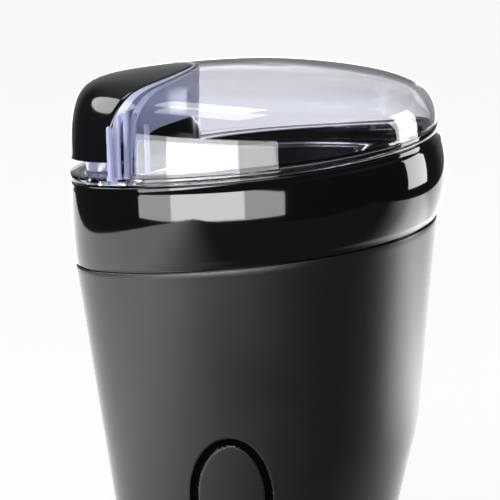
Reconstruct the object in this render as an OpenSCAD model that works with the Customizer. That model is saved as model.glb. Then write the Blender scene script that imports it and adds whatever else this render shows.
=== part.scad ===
// Electric spice grinder: a tapered housing of egg-shaped plan, a bulged collar, a clear domed
// lid and a push button over the lid's tail end. Both seams rise towards the nose.
// Millimetres, +Z up, +X towards the nose, the button at -X, the front at -Y.
// The origin is on the table, under the middle of the object's box.

/* [Plan] */
// Half length of the plan at the lid seam
plan_reach = 58.5; // [54:0.5:64]
// Half width of the plan at the lid seam, before the egg shape widens it
plan_side = 43.3; // [41:0.1:48]
// Share by which the plan widens towards the nose
egg = 0.25; // [0.1:0.01:0.3]
// Angle at which both seams rise towards the nose
seam_tilt = 6.2; // [3:0.1:7]

/* [Housing] */
// Height of the collar's lower seam at the middle of the plan
low_seam_z = 108; // [104:1:118]
// How far the lower seam lies inside the lid seam, all round
low_seam_inset = 0.6; // [0:0.1:1.5]
// Lean of the housing wall at the tail
tail_taper = 6.8; // [3:0.1:8]
// Lean of the housing wall at the nose
nose_taper = 5.9; // [3:0.1:7]
// Lean of the housing wall at the sides
side_taper = 6.2; // [3:0.1:7]
// Height below which the nose wall leans in more
heel_z = 52; // [40:1:70]
// Extra lean of the nose wall below that height
heel_taper = 9; // [0:0.5:10]
// Height over which the nose wall bends into that lean
heel_blend = 12; // [4:1:20]
// Thickness of the housing wall
housing_wall = 2.5; // [2:0.1:3]
// Radius round the bottom edge of the housing
foot_round = 4; // [2:0.5:6]
// Height of the locating lip inside the collar
lip_h = 3; // [2:0.5:5]
// Thickness of the locating lip
lip_wall = 1.5; // [1.2:0.1:2]
// Outer half width of the oval field on the front
field_half_w = 13; // [8:0.5:16]
// Outer half height of the oval field on the front
field_half_h = 20; // [12:0.5:22]
// Height of the middle of the oval field
field_z = 31; // [28:1:40]
// Place of the oval field along the housing
field_x = -12.5; // [-16:0.5:0]
// Width of the groove round the oval field
field_groove = 2.8; // [1.5:0.1:4]
// Depth of the groove round the oval field
field_depth = 0.8; // [0.4:0.1:1.2]

/* [Collar] */
// Height of the collar between its two seams
collar_h = 28; // [24:1:32]
// Bulge of the collar at the nose
bulge_nose = 3.2; // [1:0.1:4]
// Bulge of the collar at the tail
bulge_tail = 0.4; // [0:0.1:2]
// Bulge of the collar at the sides
bulge_side = 1.8; // [0.5:0.1:3]
// Thickness of the collar's rim under the lid
rim_wall = 2.6; // [2.2:0.1:3.2]
// Height of the shadow gap along each seam
shadow_gap = 0.6; // [0.3:0.1:1]
// Depth of the shadow gap along each seam
shadow_depth = 1; // [0.6:0.1:1.2]

/* [Deck and bowl] */
// Height of the deck's top face
deck_z = 126; // [125:0.5:127]
// Thickness of the deck
deck_t = 3; // [2.5:0.1:4]
// Width of the ledge in the collar that carries the deck
ledge_w = 3; // [2:0.1:4]
// Distance of the bowl and motor axis from the nose end of the plan
axis_in = 42.5; // [41.5:0.5:46.5]
// Outer radius of the grinding bowl
bowl_r = 31.5; // [28:0.5:32]
// Thickness of the bowl's sheet steel
bowl_t = 0.7; // [0.5:0.1:1]
// Height of the bowl's rolled rim above the deck
bowl_rim_h = 5; // [4:0.5:6]
// Height of the bowl's floor, underneath
bowl_floor_z = 91.5; // [90:0.5:96]
// Radius of the corner round the bowl's floor
bowl_corner = 9; // [6:0.5:12]
// Thickness of the tub that holds the bowl
tub_wall = 2; // [1.6:0.1:2.4]

/* [Lid] */
// Height of the lid above the seam at the tail end of the plan
lid_tail_h = 37.7; // [34:0.1:40]
// Height of the lid above the seam at the nose end of the plan
lid_nose_h = 19.7; // [17:0.1:24]
// Height of the lid's crown, which is part of those heights
lid_crown = 7.3; // [5:0.1:9]
// Thickness of the lid's wall
lid_wall = 2.2; // [1.8:0.1:2.6]
// Thickness of the lid's flange
flange_t = 2.2; // [1.8:0.1:3]
// How far the flange stands out from the lid's wall
flange_out = 0.3; // [0:0.1:0.6]
// Depth of the lid's skirt inside the collar
skirt_h = 2.4; // [1.5:0.1:3]
// Thickness of the lid's skirt
skirt_wall = 1.8; // [1.4:0.1:2.4]

/* [Button] */
// Half width of the button
button_half_w = 20.3; // [17:0.1:22]
// Place of the button's front tip
button_tip_x = -18.8; // [-24:0.1:-17]
// Length of the button's rounded front
button_nose = 23.2; // [16:0.1:26]
// Height of the button's lower edge above the lid seam
button_gap = 7.3; // [6.5:0.1:9]
// Travel of the button
button_travel = 4; // [2:0.5:4.5]
// Thickness of the button's wall
button_wall = 2; // [1.6:0.1:2.4]
// Distance of the plunger from the tail end of the plan
plunger_in = 12.5; // [11.5:0.5:14.5]
// Radius of the plunger
plunger_r = 2.2; // [1.8:0.1:2.6]
// Outer radius of the guide tower
tower_r = 7.5; // [6.8:0.1:8]
// Wall of the guide tower
tower_wall = 1.6; // [1.2:0.1:2]
// Height of the guide tower above the lid's floor
tower_h = 11; // [8:0.5:13]
// Wire of both springs
spring_wire = 0.8; // [0.6:0.1:1]
// Turns of both springs
spring_turns = 8; // [5:1:9]

/* [Switch] */
// Radius of the switch slide
slide_r = 3.2; // [2.8:0.1:3.6]
// Height of the slide's head above the deck
slide_head_h = 3.4; // [3:0.1:3.6]
// Length of the slide
slide_len = 19; // [17:0.5:21]
// Length of the micro switch
switch_len = 20; // [16:0.5:22]
// Depth of the micro switch, front to back
switch_deep = 6.4; // [5:0.1:8]
// Height of the micro switch
switch_tall = 10.5; // [9:0.5:12]

/* [Motor] */
// Radius of the motor shaft
shaft_r = 3; // [2.5:0.1:3.5]
// Radius of the armature core
armature_r = 14.6; // [13:0.1:16]
// Depth of the lamination stack's lower face below the bowl's floor
stack_drop = 43.5; // [41.5:0.5:45.5]
// Height of the lamination stack
stack_h = 24; // [18:1:26]
// Gap between the armature and the field poles
air_gap = 0.4; // [0.3:0.1:0.6]
// Half length of the field core
core_half_l = 26; // [24:0.5:27]
// Half width of the field core
core_half_w = 21; // [19:0.5:23]
// Radius of the commutator
commutator_r = 8; // [7:0.5:9]
// Outer radius of the fan
fan_r = 15; // [12:0.5:15.5]
// Number of fan blades
fan_blades = 9; // [6:1:11]
// Outer radius of both bearings
bearing_r = 8; // [7:0.5:9]
// Height of both bearings
bearing_h = 6; // [5:0.5:7]

/* [Blade] */
// Reach of each wing of the blade
blade_reach = 26.5; // [22:0.5:27]
// Width of the blade at its middle
blade_w = 12; // [10:0.5:14]
// Thickness of the blade
blade_t = 1.4; // [1:0.1:2]
// Angle at which one wing is bent up
blade_rake = 14; // [5:1:20]
// Angle at which the other wing dips
blade_dip = 5; // [2:1:6]

/* [Base] */
// Height of the rubber feet
foot_h = 3; // [2:0.5:4]
// Radius of the rubber feet
foot_r = 5; // [4:0.5:6]
// Thickness of the base plate
base_t = 3; // [2.5:0.1:4]
// Radius of the hole in the cord inlet
cord_hole_r = 3.3; // [2.5:0.1:4]
// Height of the cord inlet
cord_z = 22; // [20:0.5:26]
// Length of the cord inlet bush inside the wall
inlet_len = 12; // [9:0.5:14]

/* [Hidden] */

round_n = 56;               // corners of each egg-shaped ring
slip = 0.4;                 // clearance of pieces that slide or lift out
fit = 0.1;                  // clearance of pieces that are pushed together
run = 0.25;                 // clearance of a shaft or slide in its hole
seam_rise = tan(seam_tilt);
lid_seam_z = low_seam_z + collar_h;
low_reach = plan_reach - low_seam_inset;
low_side = plan_side - low_seam_inset;
axis_x = plan_reach - axis_in;          // place of the bowl and motor axis along the plan
plunger_x = plunger_in - plan_reach;    // place of the plunger along the plan
far = 200;                  // longer than the object, for blocks that cut
centre_shift = (flange_out + low_seam_inset / 2 - bulge_nose) / 2;

module placed() { translate([centre_shift, 0, 0]) children(); }
module at_axis(z = 0) { translate([axis_x, 0, z]) children(); }

// ---- rings and skins --------------------------------------------------------------------

function mix(a, b, share) = a + (b - a) * share;
function seam_at(z, x) = z + seam_rise * x;

// One egg-shaped ring in a plane that rises from z_tail to z_nose.
function egg_ring(tail, nose, side, z_tail, z_nose) =
    [for (i = [0 : round_n - 1])
        let (t = 360 * i / round_n, x = (nose - tail) / 2 + (nose + tail) / 2 * cos(t))
        [x, side * sin(t) * (1 + egg * cos(t)), mix(z_tail, z_nose, (x + tail) / (nose + tail))]];

// A closed surface through rings: a loop of rings, or a stack with a cap at each end.
module skin(rings, loop = false) {
    n = len(rings[0]);
    count = len(rings);
    sides = [for (j = [0 : count - (loop ? 1 : 2)]) for (i = [0 : n - 1])
        let (k = (j + 1) % count, m = (i + 1) % n)
        [j * n + i, k * n + i, k * n + m, j * n + m]];
    caps = [[for (i = [0 : n - 1]) i], [for (i = [n - 1 : -1 : 0]) (count - 1) * n + i]];
    polyhedron([for (r = rings) each r], loop ? sides : concat(sides, caps), convexity = 8);
}

// ---- outlines of the body ---------------------------------------------------------------

low_tail_z = seam_at(low_seam_z, -low_reach);
low_nose_z = seam_at(low_seam_z, low_reach);

// How far the nose wall has bent in at a height: none above the heel, then a smooth bend.
function heel_in(z) = let (drop = max(0, heel_z - z))
    tan(heel_taper) * (drop < heel_blend ? drop * drop / (2 * heel_blend) : drop - heel_blend / 2);
function tail_reach(z) = low_reach - tan(tail_taper) * (low_tail_z - z);
function nose_reach(z) = low_reach - tan(nose_taper) * (low_nose_z - z) - heel_in(z);
function side_reach(z) = low_side - tan(side_taper) * (low_seam_z - z);
function housing_ring(z_tail, z_nose, inset) = egg_ring(tail_reach(z_tail) - inset,
    nose_reach(z_nose) - inset, side_reach((z_tail + z_nose) / 2) - inset, z_tail, z_nose);
// A level ring of the housing.
function housing_level(z, inset) = housing_ring(z, z, inset);
// A ring at a share of the way from the foot's round to the lower seam.
function housing_rise(share, inset) = housing_ring(mix(foot_h + foot_round, low_tail_z, share),
    mix(foot_h + foot_round, low_nose_z, share), inset);
// A ring along the lower seam, lifted off it.
function housing_seam(inset, lift = 0) = let (reach = low_reach - inset)
    egg_ring(reach, reach, low_side - inset, seam_at(low_seam_z + lift, -reach),
        seam_at(low_seam_z + lift, reach));
// Half width of the housing at a height and a place along it.
function housing_half_w(z, x) =
    let (reach = (tail_reach(z) + nose_reach(z)) / 2,
        c = (x - (nose_reach(z) - tail_reach(z)) / 2) / reach)
    side_reach(z) * sqrt(1 - c * c) * (1 + egg * c);

// A ring of the collar: share 0 is the lower seam and share 1 the lid seam.
function collar_ring(share, inset, swell = 0, lift = 0) =
    let (reach = mix(low_reach, plan_reach, share) - inset,
        bulge = swell * 4 * share * (1 - share),
        z = low_seam_z + collar_h * share + lift)
    egg_ring(reach + bulge_tail * bulge, reach + bulge_nose * bulge,
        mix(low_side, plan_side, share) - inset + bulge_side * bulge,
        seam_at(z, -reach), seam_at(z, reach));
// A level ring of the plan.
function plan_level(z, inset) = egg_ring(plan_reach - inset, plan_reach - inset,
    plan_side - inset, z, z);
// A ring along the lid seam, lifted off it.
function lid_seam(inset, lift) = collar_ring(1, inset, 0, lift);

// The lid: wide is the ring's share of the plan, inset its depth under the outer surface.
shoulder_power = 2.8;       // roundness of the lid's shoulder in height
plan_power = 17;            // how late the shoulder turns in
function lid_height(x) = mix(lid_tail_h, lid_nose_h, (x / plan_reach + 1) / 2);
function lid_top(wide, x, inset) = seam_at(lid_seam_z, x) + lid_crown * (1 - wide * wide)
    + (lid_height(x) - lid_crown - inset)
    * pow(max(0, 1 - pow(wide, plan_power)), 1 / shoulder_power);
function lid_ring(wide, inset) = let (reach = (plan_reach - inset) * wide)
    egg_ring(reach, reach, (plan_side - inset) * wide,
        lid_top(wide, -reach, inset), lid_top(wide, reach, inset));
// Shares of the plan at which the lid has rings, from its foot over the shoulder to the crown.
shoulder_steps = [for (a = [14, 27, 38, 47, 55, 62, 69, 76, 83])
    pow(1 - pow(sin(a), shoulder_power), 1 / plan_power)];
crown_steps = [for (k = [1 : 4]) shoulder_steps[8] * (1 - k / 4.3)];
lid_steps = concat(shoulder_steps, crown_steps);

inner_steps = [for (k = [1 : 2 : len(lid_steps) - 1]) lid_steps[k]];

// The whole form of the lid and button, let in by inset, with rings at the given shares.
module dome(inset, steps) {
    skin(concat([lid_seam(inset, -1), lid_seam(inset, 0.5)], [for (w = steps) lid_ring(w, inset)]));
}
// Everything below a plane parallel to the lid seam.
module below_seam(lift) {
    translate([0, 0, lid_seam_z + lift]) rotate([0, -seam_tilt, 0])
        translate([-far / 2, -far / 2, -far]) cube(far);
}

// Plan of the button: straight sides from the tail and a rounded front.
tip_power = 1.55;
function tip_wave(s) = sign(s) * pow(abs(s), 2 / tip_power);
function button_plan(grow) = concat([[-1.3 * plan_reach, -button_half_w - grow]],
    [for (t = [-90 : 9 : 90]) [button_tip_x - button_nose + (button_nose + grow) * tip_wave(cos(t)),
        (button_half_w + grow) * tip_wave(sin(t))]],
    [[-1.3 * plan_reach, button_half_w + grow]]);
module button_column(grow, z_low) {
    translate([0, 0, z_low]) linear_extrude(far) polygon(button_plan(grow));
}

// ---- housing ----------------------------------------------------------------------------

shelf_h = 1.5;              // height of the shelf that the base plate stops against
plate_inset = foot_round + 1.4;
shelf_inset = plate_inset + 1.6;
lip_inset = 2.2;            // place of the lip's outer face
seat_z = foot_h + base_t;

widest = (sqrt(1 + 8 * egg * egg) - 1) / (4 * egg);   // where the plan is widest, -1 to 1
inlet_x = mix(-tail_reach(cord_z), nose_reach(cord_z), (widest + 1) / 2);
inlet_r = cord_hole_r + 2.2;
// The cord inlet's own axis, square to the wall, with z = 0 on its outer face and +z inwards.
module inlet_axis() {
    translate([inlet_x, housing_half_w(cord_z, inlet_x), cord_z]) rotate([90 - side_taper, 0, 0])
        children();
}
module oval(half_w, half_h) {
    scale([half_w, half_h]) circle(1, $fn = 48);
}
module housing() {
    outer = concat(
        [for (a = [0 : 30 : 90]) housing_level(foot_h + foot_round * (1 - cos(a)),
            foot_round * (1 - sin(a)))],
        [for (s = [0.1 : 0.1 : 0.5]) housing_rise(s, 0)], [housing_rise(0.75, 0)],
        [housing_seam(0)]);
    inner = concat(
        [housing_seam(lip_inset), housing_seam(lip_inset, lip_h),
            housing_seam(lip_inset + lip_wall, lip_h), housing_seam(lip_inset + lip_wall, -2),
            housing_seam(housing_wall + 0.3, -4)],
        [for (s = [0.7 : -0.2 : 0.1]) housing_rise(s, housing_wall)],
        [housing_level(seat_z + shelf_h + 3, housing_wall),
            housing_level(seat_z + shelf_h, shelf_inset), housing_level(seat_z, shelf_inset),
            housing_level(seat_z, plate_inset), housing_level(foot_h, plate_inset)]);
    color("dimgray") placed() difference() {
        skin(concat(outer, inner), loop = true);
        inlet_axis() cylinder(r = inlet_r + fit, h = 4 * inlet_len, center = true, $fn = 48);
        field_ring();
    }
}
// The groove round the plain oval field: a ring that cuts field_depth deep into the front.
module field_ring() {
    difference() {
        translate([field_x, 0, field_z]) rotate([90, 0, 0]) linear_extrude(far / 2) difference() {
            oval(field_half_w, field_half_h);
            oval(field_half_w - field_groove, field_half_h - field_groove);
        }
        skin([for (k = [0 : 4]) housing_level(field_z + (k - 2) * (field_half_h + 2) / 2,
            field_depth)]);
    }
}

// ---- collar -----------------------------------------------------------------------------

ledge_z = deck_z - deck_t;
ledge_t = 4;                // thickness of the ledge
module collar() {
    outer = concat(
        [collar_ring(0, lip_inset - slip), collar_ring(0, shadow_depth),
            collar_ring(0, shadow_depth, 0, shadow_gap), collar_ring(0, 0, 0, shadow_gap)],
        [for (s = [0.12 : 0.19 : 0.9]) collar_ring(s, 0, 1)],
        [collar_ring(1, 0, 0, -shadow_gap), collar_ring(1, shadow_depth, 0, -shadow_gap),
            collar_ring(1, shadow_depth), collar_ring(1, rim_wall)]);
    inner = [plan_level(ledge_z, rim_wall + low_seam_inset),
        plan_level(ledge_z, rim_wall + low_seam_inset + ledge_w),
        plan_level(ledge_z - ledge_t, rim_wall + low_seam_inset + ledge_w),
        collar_ring(0, rim_wall, 0, lip_h + 2), collar_ring(0, lip_inset - slip, 0, lip_h + 1)];
    color("black") placed() skin(concat(outer, inner), loop = true);
}

// ---- lid --------------------------------------------------------------------------------

skirt_inset = rim_wall + slip;
skirt_in = skirt_inset + skirt_wall;
rest_gap = 0.1;             // gap between the lid's flange and the collar's rim
well_wall = 2;              // thickness of the wall round the button's well
floor_top = lid_seam_z + flange_t;
tower_seat = seam_at(floor_top, plunger_x + tower_r);
tower_top = seam_at(floor_top + tower_h, plunger_x);

module lid_shell() {
    last = len(inner_steps) - 1;
    inner = concat([for (k = [0 : last]) lid_ring(inner_steps[last - k], lid_wall)],
        [lid_seam(lid_wall, flange_t + 1), lid_seam(skirt_in, flange_t - 1),
            lid_seam(skirt_in, -skirt_h)]);
    foot = [lid_seam(skirt_inset, -skirt_h), lid_seam(skirt_inset, rest_gap),
        lid_seam(0.3 - flange_out, rest_gap), lid_seam(-flange_out, rest_gap + 0.3),
        lid_seam(-flange_out, flange_t - 0.4), lid_seam(0.1, flange_t)];
    skin(concat(inner, foot, [for (w = lid_steps) lid_ring(w, 0)]));
}
module lid_cover() {
    color("lightsteelblue", 0.4) placed() {
        difference() {
            union() {
                difference() {
                    lid_shell();
                    difference() {
                        button_column(slip, lid_seam_z - 30);
                        below_seam(flange_t);
                    }
                }
                intersection() {
                    dome(0.3, inner_steps);
                    difference() {
                        button_column(slip + well_wall, lid_seam_z - 30);
                        difference() {
                            button_column(slip, lid_seam_z - 40);
                            below_seam(flange_t);
                        }
                        below_seam(0);
                    }
                }
                translate([plunger_x, 0, tower_seat - 2])
                    cylinder(r = tower_r, h = tower_top - tower_seat + 2);
            }
            translate([plunger_x, 0, tower_seat])
                cylinder(r = tower_r - tower_wall, h = far);
            translate([plunger_x, 0, tower_seat - far / 2])
                cylinder(r = plunger_r + run, h = far);
        }
    }
}

// ---- button -----------------------------------------------------------------------------

boss_z = tower_top + button_travel + 0.6;   // lower end of the boss under the button
plunger_z = deck_z + slide_head_h + 0.3;    // lower end of the plunger
module push_button() {
    color([0.08, 0.08, 0.09]) placed() {
        difference() {
            intersection() {
                dome(0, lid_steps);
                button_column(0, lid_seam_z - 30);
            }
            intersection() {
                dome(button_wall, inner_steps);
                button_column(-button_wall, lid_seam_z - 40);
            }
            below_seam(button_gap);
        }
        intersection() {
            union() {
                translate([plunger_x, 0, boss_z]) cylinder(r = tower_r - tower_wall, h = far);
                translate([plunger_x, 0, plunger_z]) cylinder(r = plunger_r, h = far);
            }
            skin(concat([plan_level(plunger_z, button_wall)], [for (w = inner_steps)
                lid_ring(w, button_wall - 0.4)]));
        }
    }
}

// ---- springs ----------------------------------------------------------------------------

// A coil of round wire about +Z from z = 0 to height, as one unbroken tube.
module coil(mean_r, wire, turns, height) {
    steps = 8 * turns;
    climb = height - wire;
    rings = [for (s = [0 : steps])
        let (a = 45 * s, z = wire / 2 + climb * s / steps)
        [for (k = [0 : 5]) let (b = -60 * k)
            [(mean_r + wire / 2 * cos(b)) * cos(a), (mean_r + wire / 2 * cos(b)) * sin(a),
                z + wire / 2 * sin(b)]]];
    skin(rings);
}
module button_spring() {
    color("silver") placed() translate([plunger_x, 0, tower_seat + 0.1])
        coil((tower_r - tower_wall + plunger_r) / 2, spring_wire, spring_turns,
            boss_z - tower_seat - 0.2);
}

// ---- deck and bowl ----------------------------------------------------------------------

press = 0.03;               // clearance of a piece pressed on its shaft
deck_inset = rim_wall + low_seam_inset + 0.3;
tub_in = bowl_r + slip;
tub_out = tub_in + tub_wall;
tub_floor_z = bowl_floor_z - 5.5;
tub_floor_t = 2;
rim_z = deck_z + bowl_rim_h;            // height of the bowl's flange, underneath
seal_r = 6;
boss_r = seal_r + 1.5;
boss_top = bowl_floor_z + 3.5;
seal_z = boss_top - 4.6;
mount_place = 13;           // place of each rubber mount off the axis, both ways
mount_r = 4.5;
stud_r = 2;
guide_r = slide_r + run + 1.6;
slide_top = deck_z + slide_head_h;
slide_low = slide_top - slide_len;      // lower face of the slide's collar
slide_collar_h = 1.5;

// Points of an arc about [cx, cz], from angle a to angle b.
function arc(cx, cz, r, a, b, n = 8) =
    [for (k = [0 : n]) let (t = mix(a, b, k / n)) [cx + r * cos(t), cz + r * sin(t)]];
module mount_places() {
    for (sx = [-1, 1], sy = [-1, 1]) at_axis() translate([sx * mount_place, sy * mount_place, 0])
        children();
}
module bowl_deck() {
    color("black") placed() difference() {
        union() {
            skin([plan_level(ledge_z, deck_inset), plan_level(deck_z, deck_inset)]);
            translate([plunger_x, 0, slide_low + slide_collar_h + 0.1])
                cylinder(r = guide_r, h = deck_z - slide_low - slide_collar_h - 0.1, $fn = 48);
            at_axis() rotate_extrude($fn = 96) polygon([[shaft_r + 1, tub_floor_z],
                [tub_out - 6, tub_floor_z], [tub_out, tub_floor_z + 6], [tub_out, rim_z - 0.1],
                [shaft_r + 1, rim_z - 0.1]]);
        }
        at_axis() rotate_extrude($fn = 96) polygon([[boss_r, tub_floor_z + tub_floor_t],
            [tub_in - 6, tub_floor_z + tub_floor_t], [tub_in, tub_floor_z + tub_floor_t + 6],
            [tub_in, far], [0, far], [0, boss_top], [boss_r, boss_top]]);
        at_axis(seal_z) cylinder(r = seal_r + fit, h = far, $fn = 48);
        mount_places() translate([0, 0, tub_floor_z - 1]) cylinder(r = stud_r + fit, h = 6, $fn = 32);
        translate([plunger_x, 0, slide_low]) cylinder(r = slide_r + run, h = far, $fn = 48);
    }
}
module grinding_bowl() {
    hole_r = boss_r + run;
    rim_r = tub_out + 1.2;
    corner_x = bowl_r - bowl_corner;
    corner_z = bowl_floor_z + bowl_corner;
    color("silver") placed() at_axis() rotate_extrude($fn = 96) union() {
        polygon(concat([[hole_r, bowl_floor_z]], arc(corner_x, corner_z, bowl_corner, -90, 0),
            [[bowl_r, rim_z], [rim_r, rim_z], [rim_r, rim_z + bowl_t],
                [bowl_r - bowl_t, rim_z + bowl_t]],
            arc(corner_x, corner_z, bowl_corner - bowl_t, 0, -90),
            [[hole_r + bowl_t, bowl_floor_z + bowl_t], [hole_r + bowl_t, boss_top + 0.4],
                [hole_r, boss_top + 0.4]]));
        translate([rim_r, rim_z + 0.9]) circle(0.9, $fn = 24);
    }
}
module shaft_seal() {
    top = boss_top - 0.2;
    color("dimgray") placed() at_axis() rotate_extrude($fn = 64) polygon([[shaft_r + 0.6, seal_z],
        [seal_r, seal_z], [seal_r, top], [shaft_r + 1.4, top], [shaft_r + 0.08, top - 0.5],
        [shaft_r + 0.08, top - 1.2], [shaft_r + 1.2, top - 2.2], [shaft_r + 0.6, seal_z + 1]]);
}

// ---- blade ------------------------------------------------------------------------------

hub_z = boss_top + 2.5;     // height of the shoulder that the blade sits on
thread_r = 2.4;
blade_fold = 8;             // distance of each fold from the axis
nut_h = 3.2;
shaft_top = hub_z + blade_t + nut_h + 1;
// Side profile of the bent strip: flat in the middle, one wing raised and the other dipped.
function blade_profile() = let (run_out = blade_reach + 2 - blade_fold,
        up = [run_out * cos(blade_rake), run_out * sin(blade_rake)],
        down = [-run_out * cos(blade_dip), -run_out * sin(blade_dip)])
    [[-blade_fold, 0], [blade_fold, 0], up + [blade_fold, 0],
        up + [blade_fold - blade_t * sin(blade_rake), blade_t * cos(blade_rake)],
        [blade_fold - blade_t * tan(blade_rake / 2), blade_t],
        [-blade_fold - blade_t * tan(blade_dip / 2), blade_t],
        down + [-blade_fold - blade_t * sin(blade_dip), blade_t * cos(blade_dip)],
        down + [-blade_fold, 0]];
// A wedge that grinds the leading edge of one wing.
module ground_edge(lean) {
    translate([blade_fold, 0, 0]) rotate([0, -lean, 0]) translate([1, -blade_w / 2, blade_t * 0.7])
        rotate([20, 0, 4]) translate([0, -5, 0]) cube([far, 7, 5]);
}
module blade() {
    half_plan = [[blade_fold, -blade_w / 2], [blade_reach - 4, 1.5 - blade_w / 2],
        [blade_reach + 1, blade_w / 2 - 2], [blade_fold, blade_w / 2]];
    color("silver") placed() at_axis(hub_z) difference() {
        intersection() {
            rotate([90, 0, 0]) translate([0, 0, -blade_w])
                linear_extrude(2 * blade_w) polygon(blade_profile());
            translate([0, 0, -far / 2]) linear_extrude(far) intersection() {
                circle(blade_reach, $fn = 96);
                polygon(concat(half_plan, -half_plan));
            }
        }
        ground_edge(blade_rake);
        rotate([0, 0, 180]) ground_edge(-blade_dip);
        translate([0, 0, -1]) cylinder(r = thread_r + press, h = 6, $fn = 48);
    }
}
module blade_nut() {
    color("silver") placed() at_axis(hub_z + blade_t) difference() {
        union() {
            cylinder(r = 6, h = 0.8, $fn = 48);
            cylinder(r = 4.6, h = nut_h, $fn = 6);
            translate([0, 0, nut_h - 0.2]) cylinder(r1 = 3.8, r2 = 2.6, h = 2.2, $fn = 48);
        }
        translate([0, 0, -1]) cylinder(r = thread_r + press, h = nut_h + 2.1, $fn = 48);
    }
}

// ---- rotor ------------------------------------------------------------------------------

stack_z = bowl_floor_z - stack_drop;    // lower face of the lamination stack
stack_top = stack_z + stack_h;
shaft_low = foot_h + base_t + 3;
commutator_drop = 15;       // depth of the commutator's lower end below the stack
commutator_z = stack_z - commutator_drop;
commutator_h = 9;
slot_count = 12;
fan_z = shaft_low + 1;
winding_h = 5.2;            // height of the end windings beyond the core
module motor_shaft() {
    color("silver") placed() at_axis() rotate_extrude($fn = 48) polygon([[0, shaft_low],
        [shaft_r - 0.5, shaft_low], [shaft_r, shaft_low + 0.5], [shaft_r, hub_z],
        [thread_r, hub_z], [thread_r, shaft_top - 0.4], [thread_r - 0.4, shaft_top],
        [0, shaft_top]]);
}
module slots(inner, outer, wide) {
    for (k = [0 : slot_count - 1]) rotate(360 * k / slot_count)
        translate([inner, -wide / 2]) square([outer - inner, wide]);
}
module armature_core() {
    color("gray") placed() at_axis(stack_z + 1) linear_extrude(stack_h - 2) difference() {
        circle(armature_r, $fn = 96);
        circle(shaft_r + press, $fn = 48);
        slots(armature_r - 6, armature_r - 1.2, 3);
        slots(armature_r - 2, armature_r + 1, 1.2);
    }
}
module armature_windings() {
    color("peru") placed() at_axis() {
        translate([0, 0, stack_z]) linear_extrude(stack_h) slots(armature_r - 5.9,
            armature_r - 1.5, 2.6);
        for (low = [stack_z + 1 - winding_h, stack_top - 1]) translate([0, 0, low])
            rotate_extrude($fn = 64) difference() {
                translate([shaft_r + 0.8, 0]) square([armature_r - shaft_r - 2.6, winding_h]);
                translate([armature_r - 1.2, low < stack_z ? -0.4 : winding_h + 0.4])
                    rotate(45) square(3.6, center = true);
            }
    }
}
module commutator() {
    color("peru") placed() at_axis(commutator_z) linear_extrude(commutator_h) difference() {
        circle(commutator_r, $fn = 96);
        circle(shaft_r + press, $fn = 48);
        slots(commutator_r - 1.2, commutator_r + 1, 0.5);
    }
}
module fan() {
    color("black") placed() at_axis(fan_z) difference() {
        union() {
            cylinder(r = shaft_r + 2, h = fan_h, $fn = 48);
            translate([0, 0, fan_h - 1.2]) cylinder(r = fan_r, h = 1.2, $fn = 96);
            for (k = [0 : fan_blades - 1]) rotate(360 * k / fan_blades)
                translate([shaft_r + 1, -0.5, 1]) cube([fan_r - shaft_r - 1.4, 1, fan_h - 1.5]);
        }
        translate([0, 0, -1]) cylinder(r = shaft_r + press, h = fan_h + 2, $fn = 48);
    }
}

// ---- motor frame ------------------------------------------------------------------------

screw_in_x = 6.2;           // distance of the motor screws from the core's edges
screw_in_y = 5.5;
screw_x = core_half_l - screw_in_x;
screw_y = core_half_w - screw_in_y;
motor_screw_r = 1.6;
motor_screw_lift = 6;       // height of the motor screws' ends above the lower plate
post_r = 3.3;
vent_x = 15;                // place and radius of the plates' vents, fore and aft
vent_x_r = 2.8;
vent_y = 14.2;              // place and radius of the plates' vents at the sides
vent_y_r = 2.6;
plate_t = 2.5;
upper_post_h = 7.5;         // height of the posts between the stack and each plate
lower_post_h = 17;
upper_plate_z = stack_top + upper_post_h;
lower_plate_z = stack_z - lower_post_h - plate_t;
upper_bearing_z = upper_plate_z - 0.5;
cup_drop = 3.5;             // how far the lower bearing hangs below its plate
lower_bearing_z = lower_plate_z - cup_drop;
cup_r = bearing_r + 2.2;
cup_t = 0.6;                // thickness of the floor under the lower bearing
fan_h = (lower_bearing_z - cup_t - fan_z) * 5 / 9;     // the rest is room for its air
leg_r = 3.2;
leg_y = fan_r + 1.2 + leg_r;            // the two legs beside the fan
leg_room = 7;
leg_x = -(fan_r + leg_room + leg_r);    // the leg behind the fan
base_screw_r = 1.5;
module rounded(half_l, half_w, r) {
    square([2 * (half_l - r), 2 * half_w], center = true);
    square([2 * half_l, 2 * (half_w - r)], center = true);
    for (sx = [-1, 1], sy = [-1, 1]) translate([sx * (half_l - r), sy * (half_w - r)])
        circle(r, $fn = 48);
}
module screw_places() {
    for (sx = [-1, 1], sy = [-1, 1]) translate([sx * screw_x, sy * screw_y]) children();
}
module leg_places() {
    for (at = [[0, leg_y], [0, -leg_y], [leg_x, 0]]) translate(at) children();
}
module bearing(z) {
    color("silver") placed() at_axis(z) rotate_extrude($fn = 64) difference() {
        translate([shaft_r + press, 0]) square([bearing_r - shaft_r - press, bearing_h]);
        for (face = [0, bearing_h]) translate([(shaft_r + bearing_r) / 2, face])
            square([(bearing_r - shaft_r) / 2, 1], center = true);
    }
}
module upper_bearing() { bearing(upper_bearing_z); }
module lower_bearing() { bearing(lower_bearing_z); }
module bracket_plate() {
    difference() {
        rounded(screw_x + post_r + 0.2, screw_y + post_r + 0.2, post_r + 0.2);
        circle(bearing_r + fit, $fn = 64);
        for (s = [-1, 1]) {
            translate([s * vent_x, 0]) circle(vent_x_r, $fn = 32);
            translate([0, s * vent_y]) circle(vent_y_r, $fn = 32);
        }
    }
}
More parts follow.
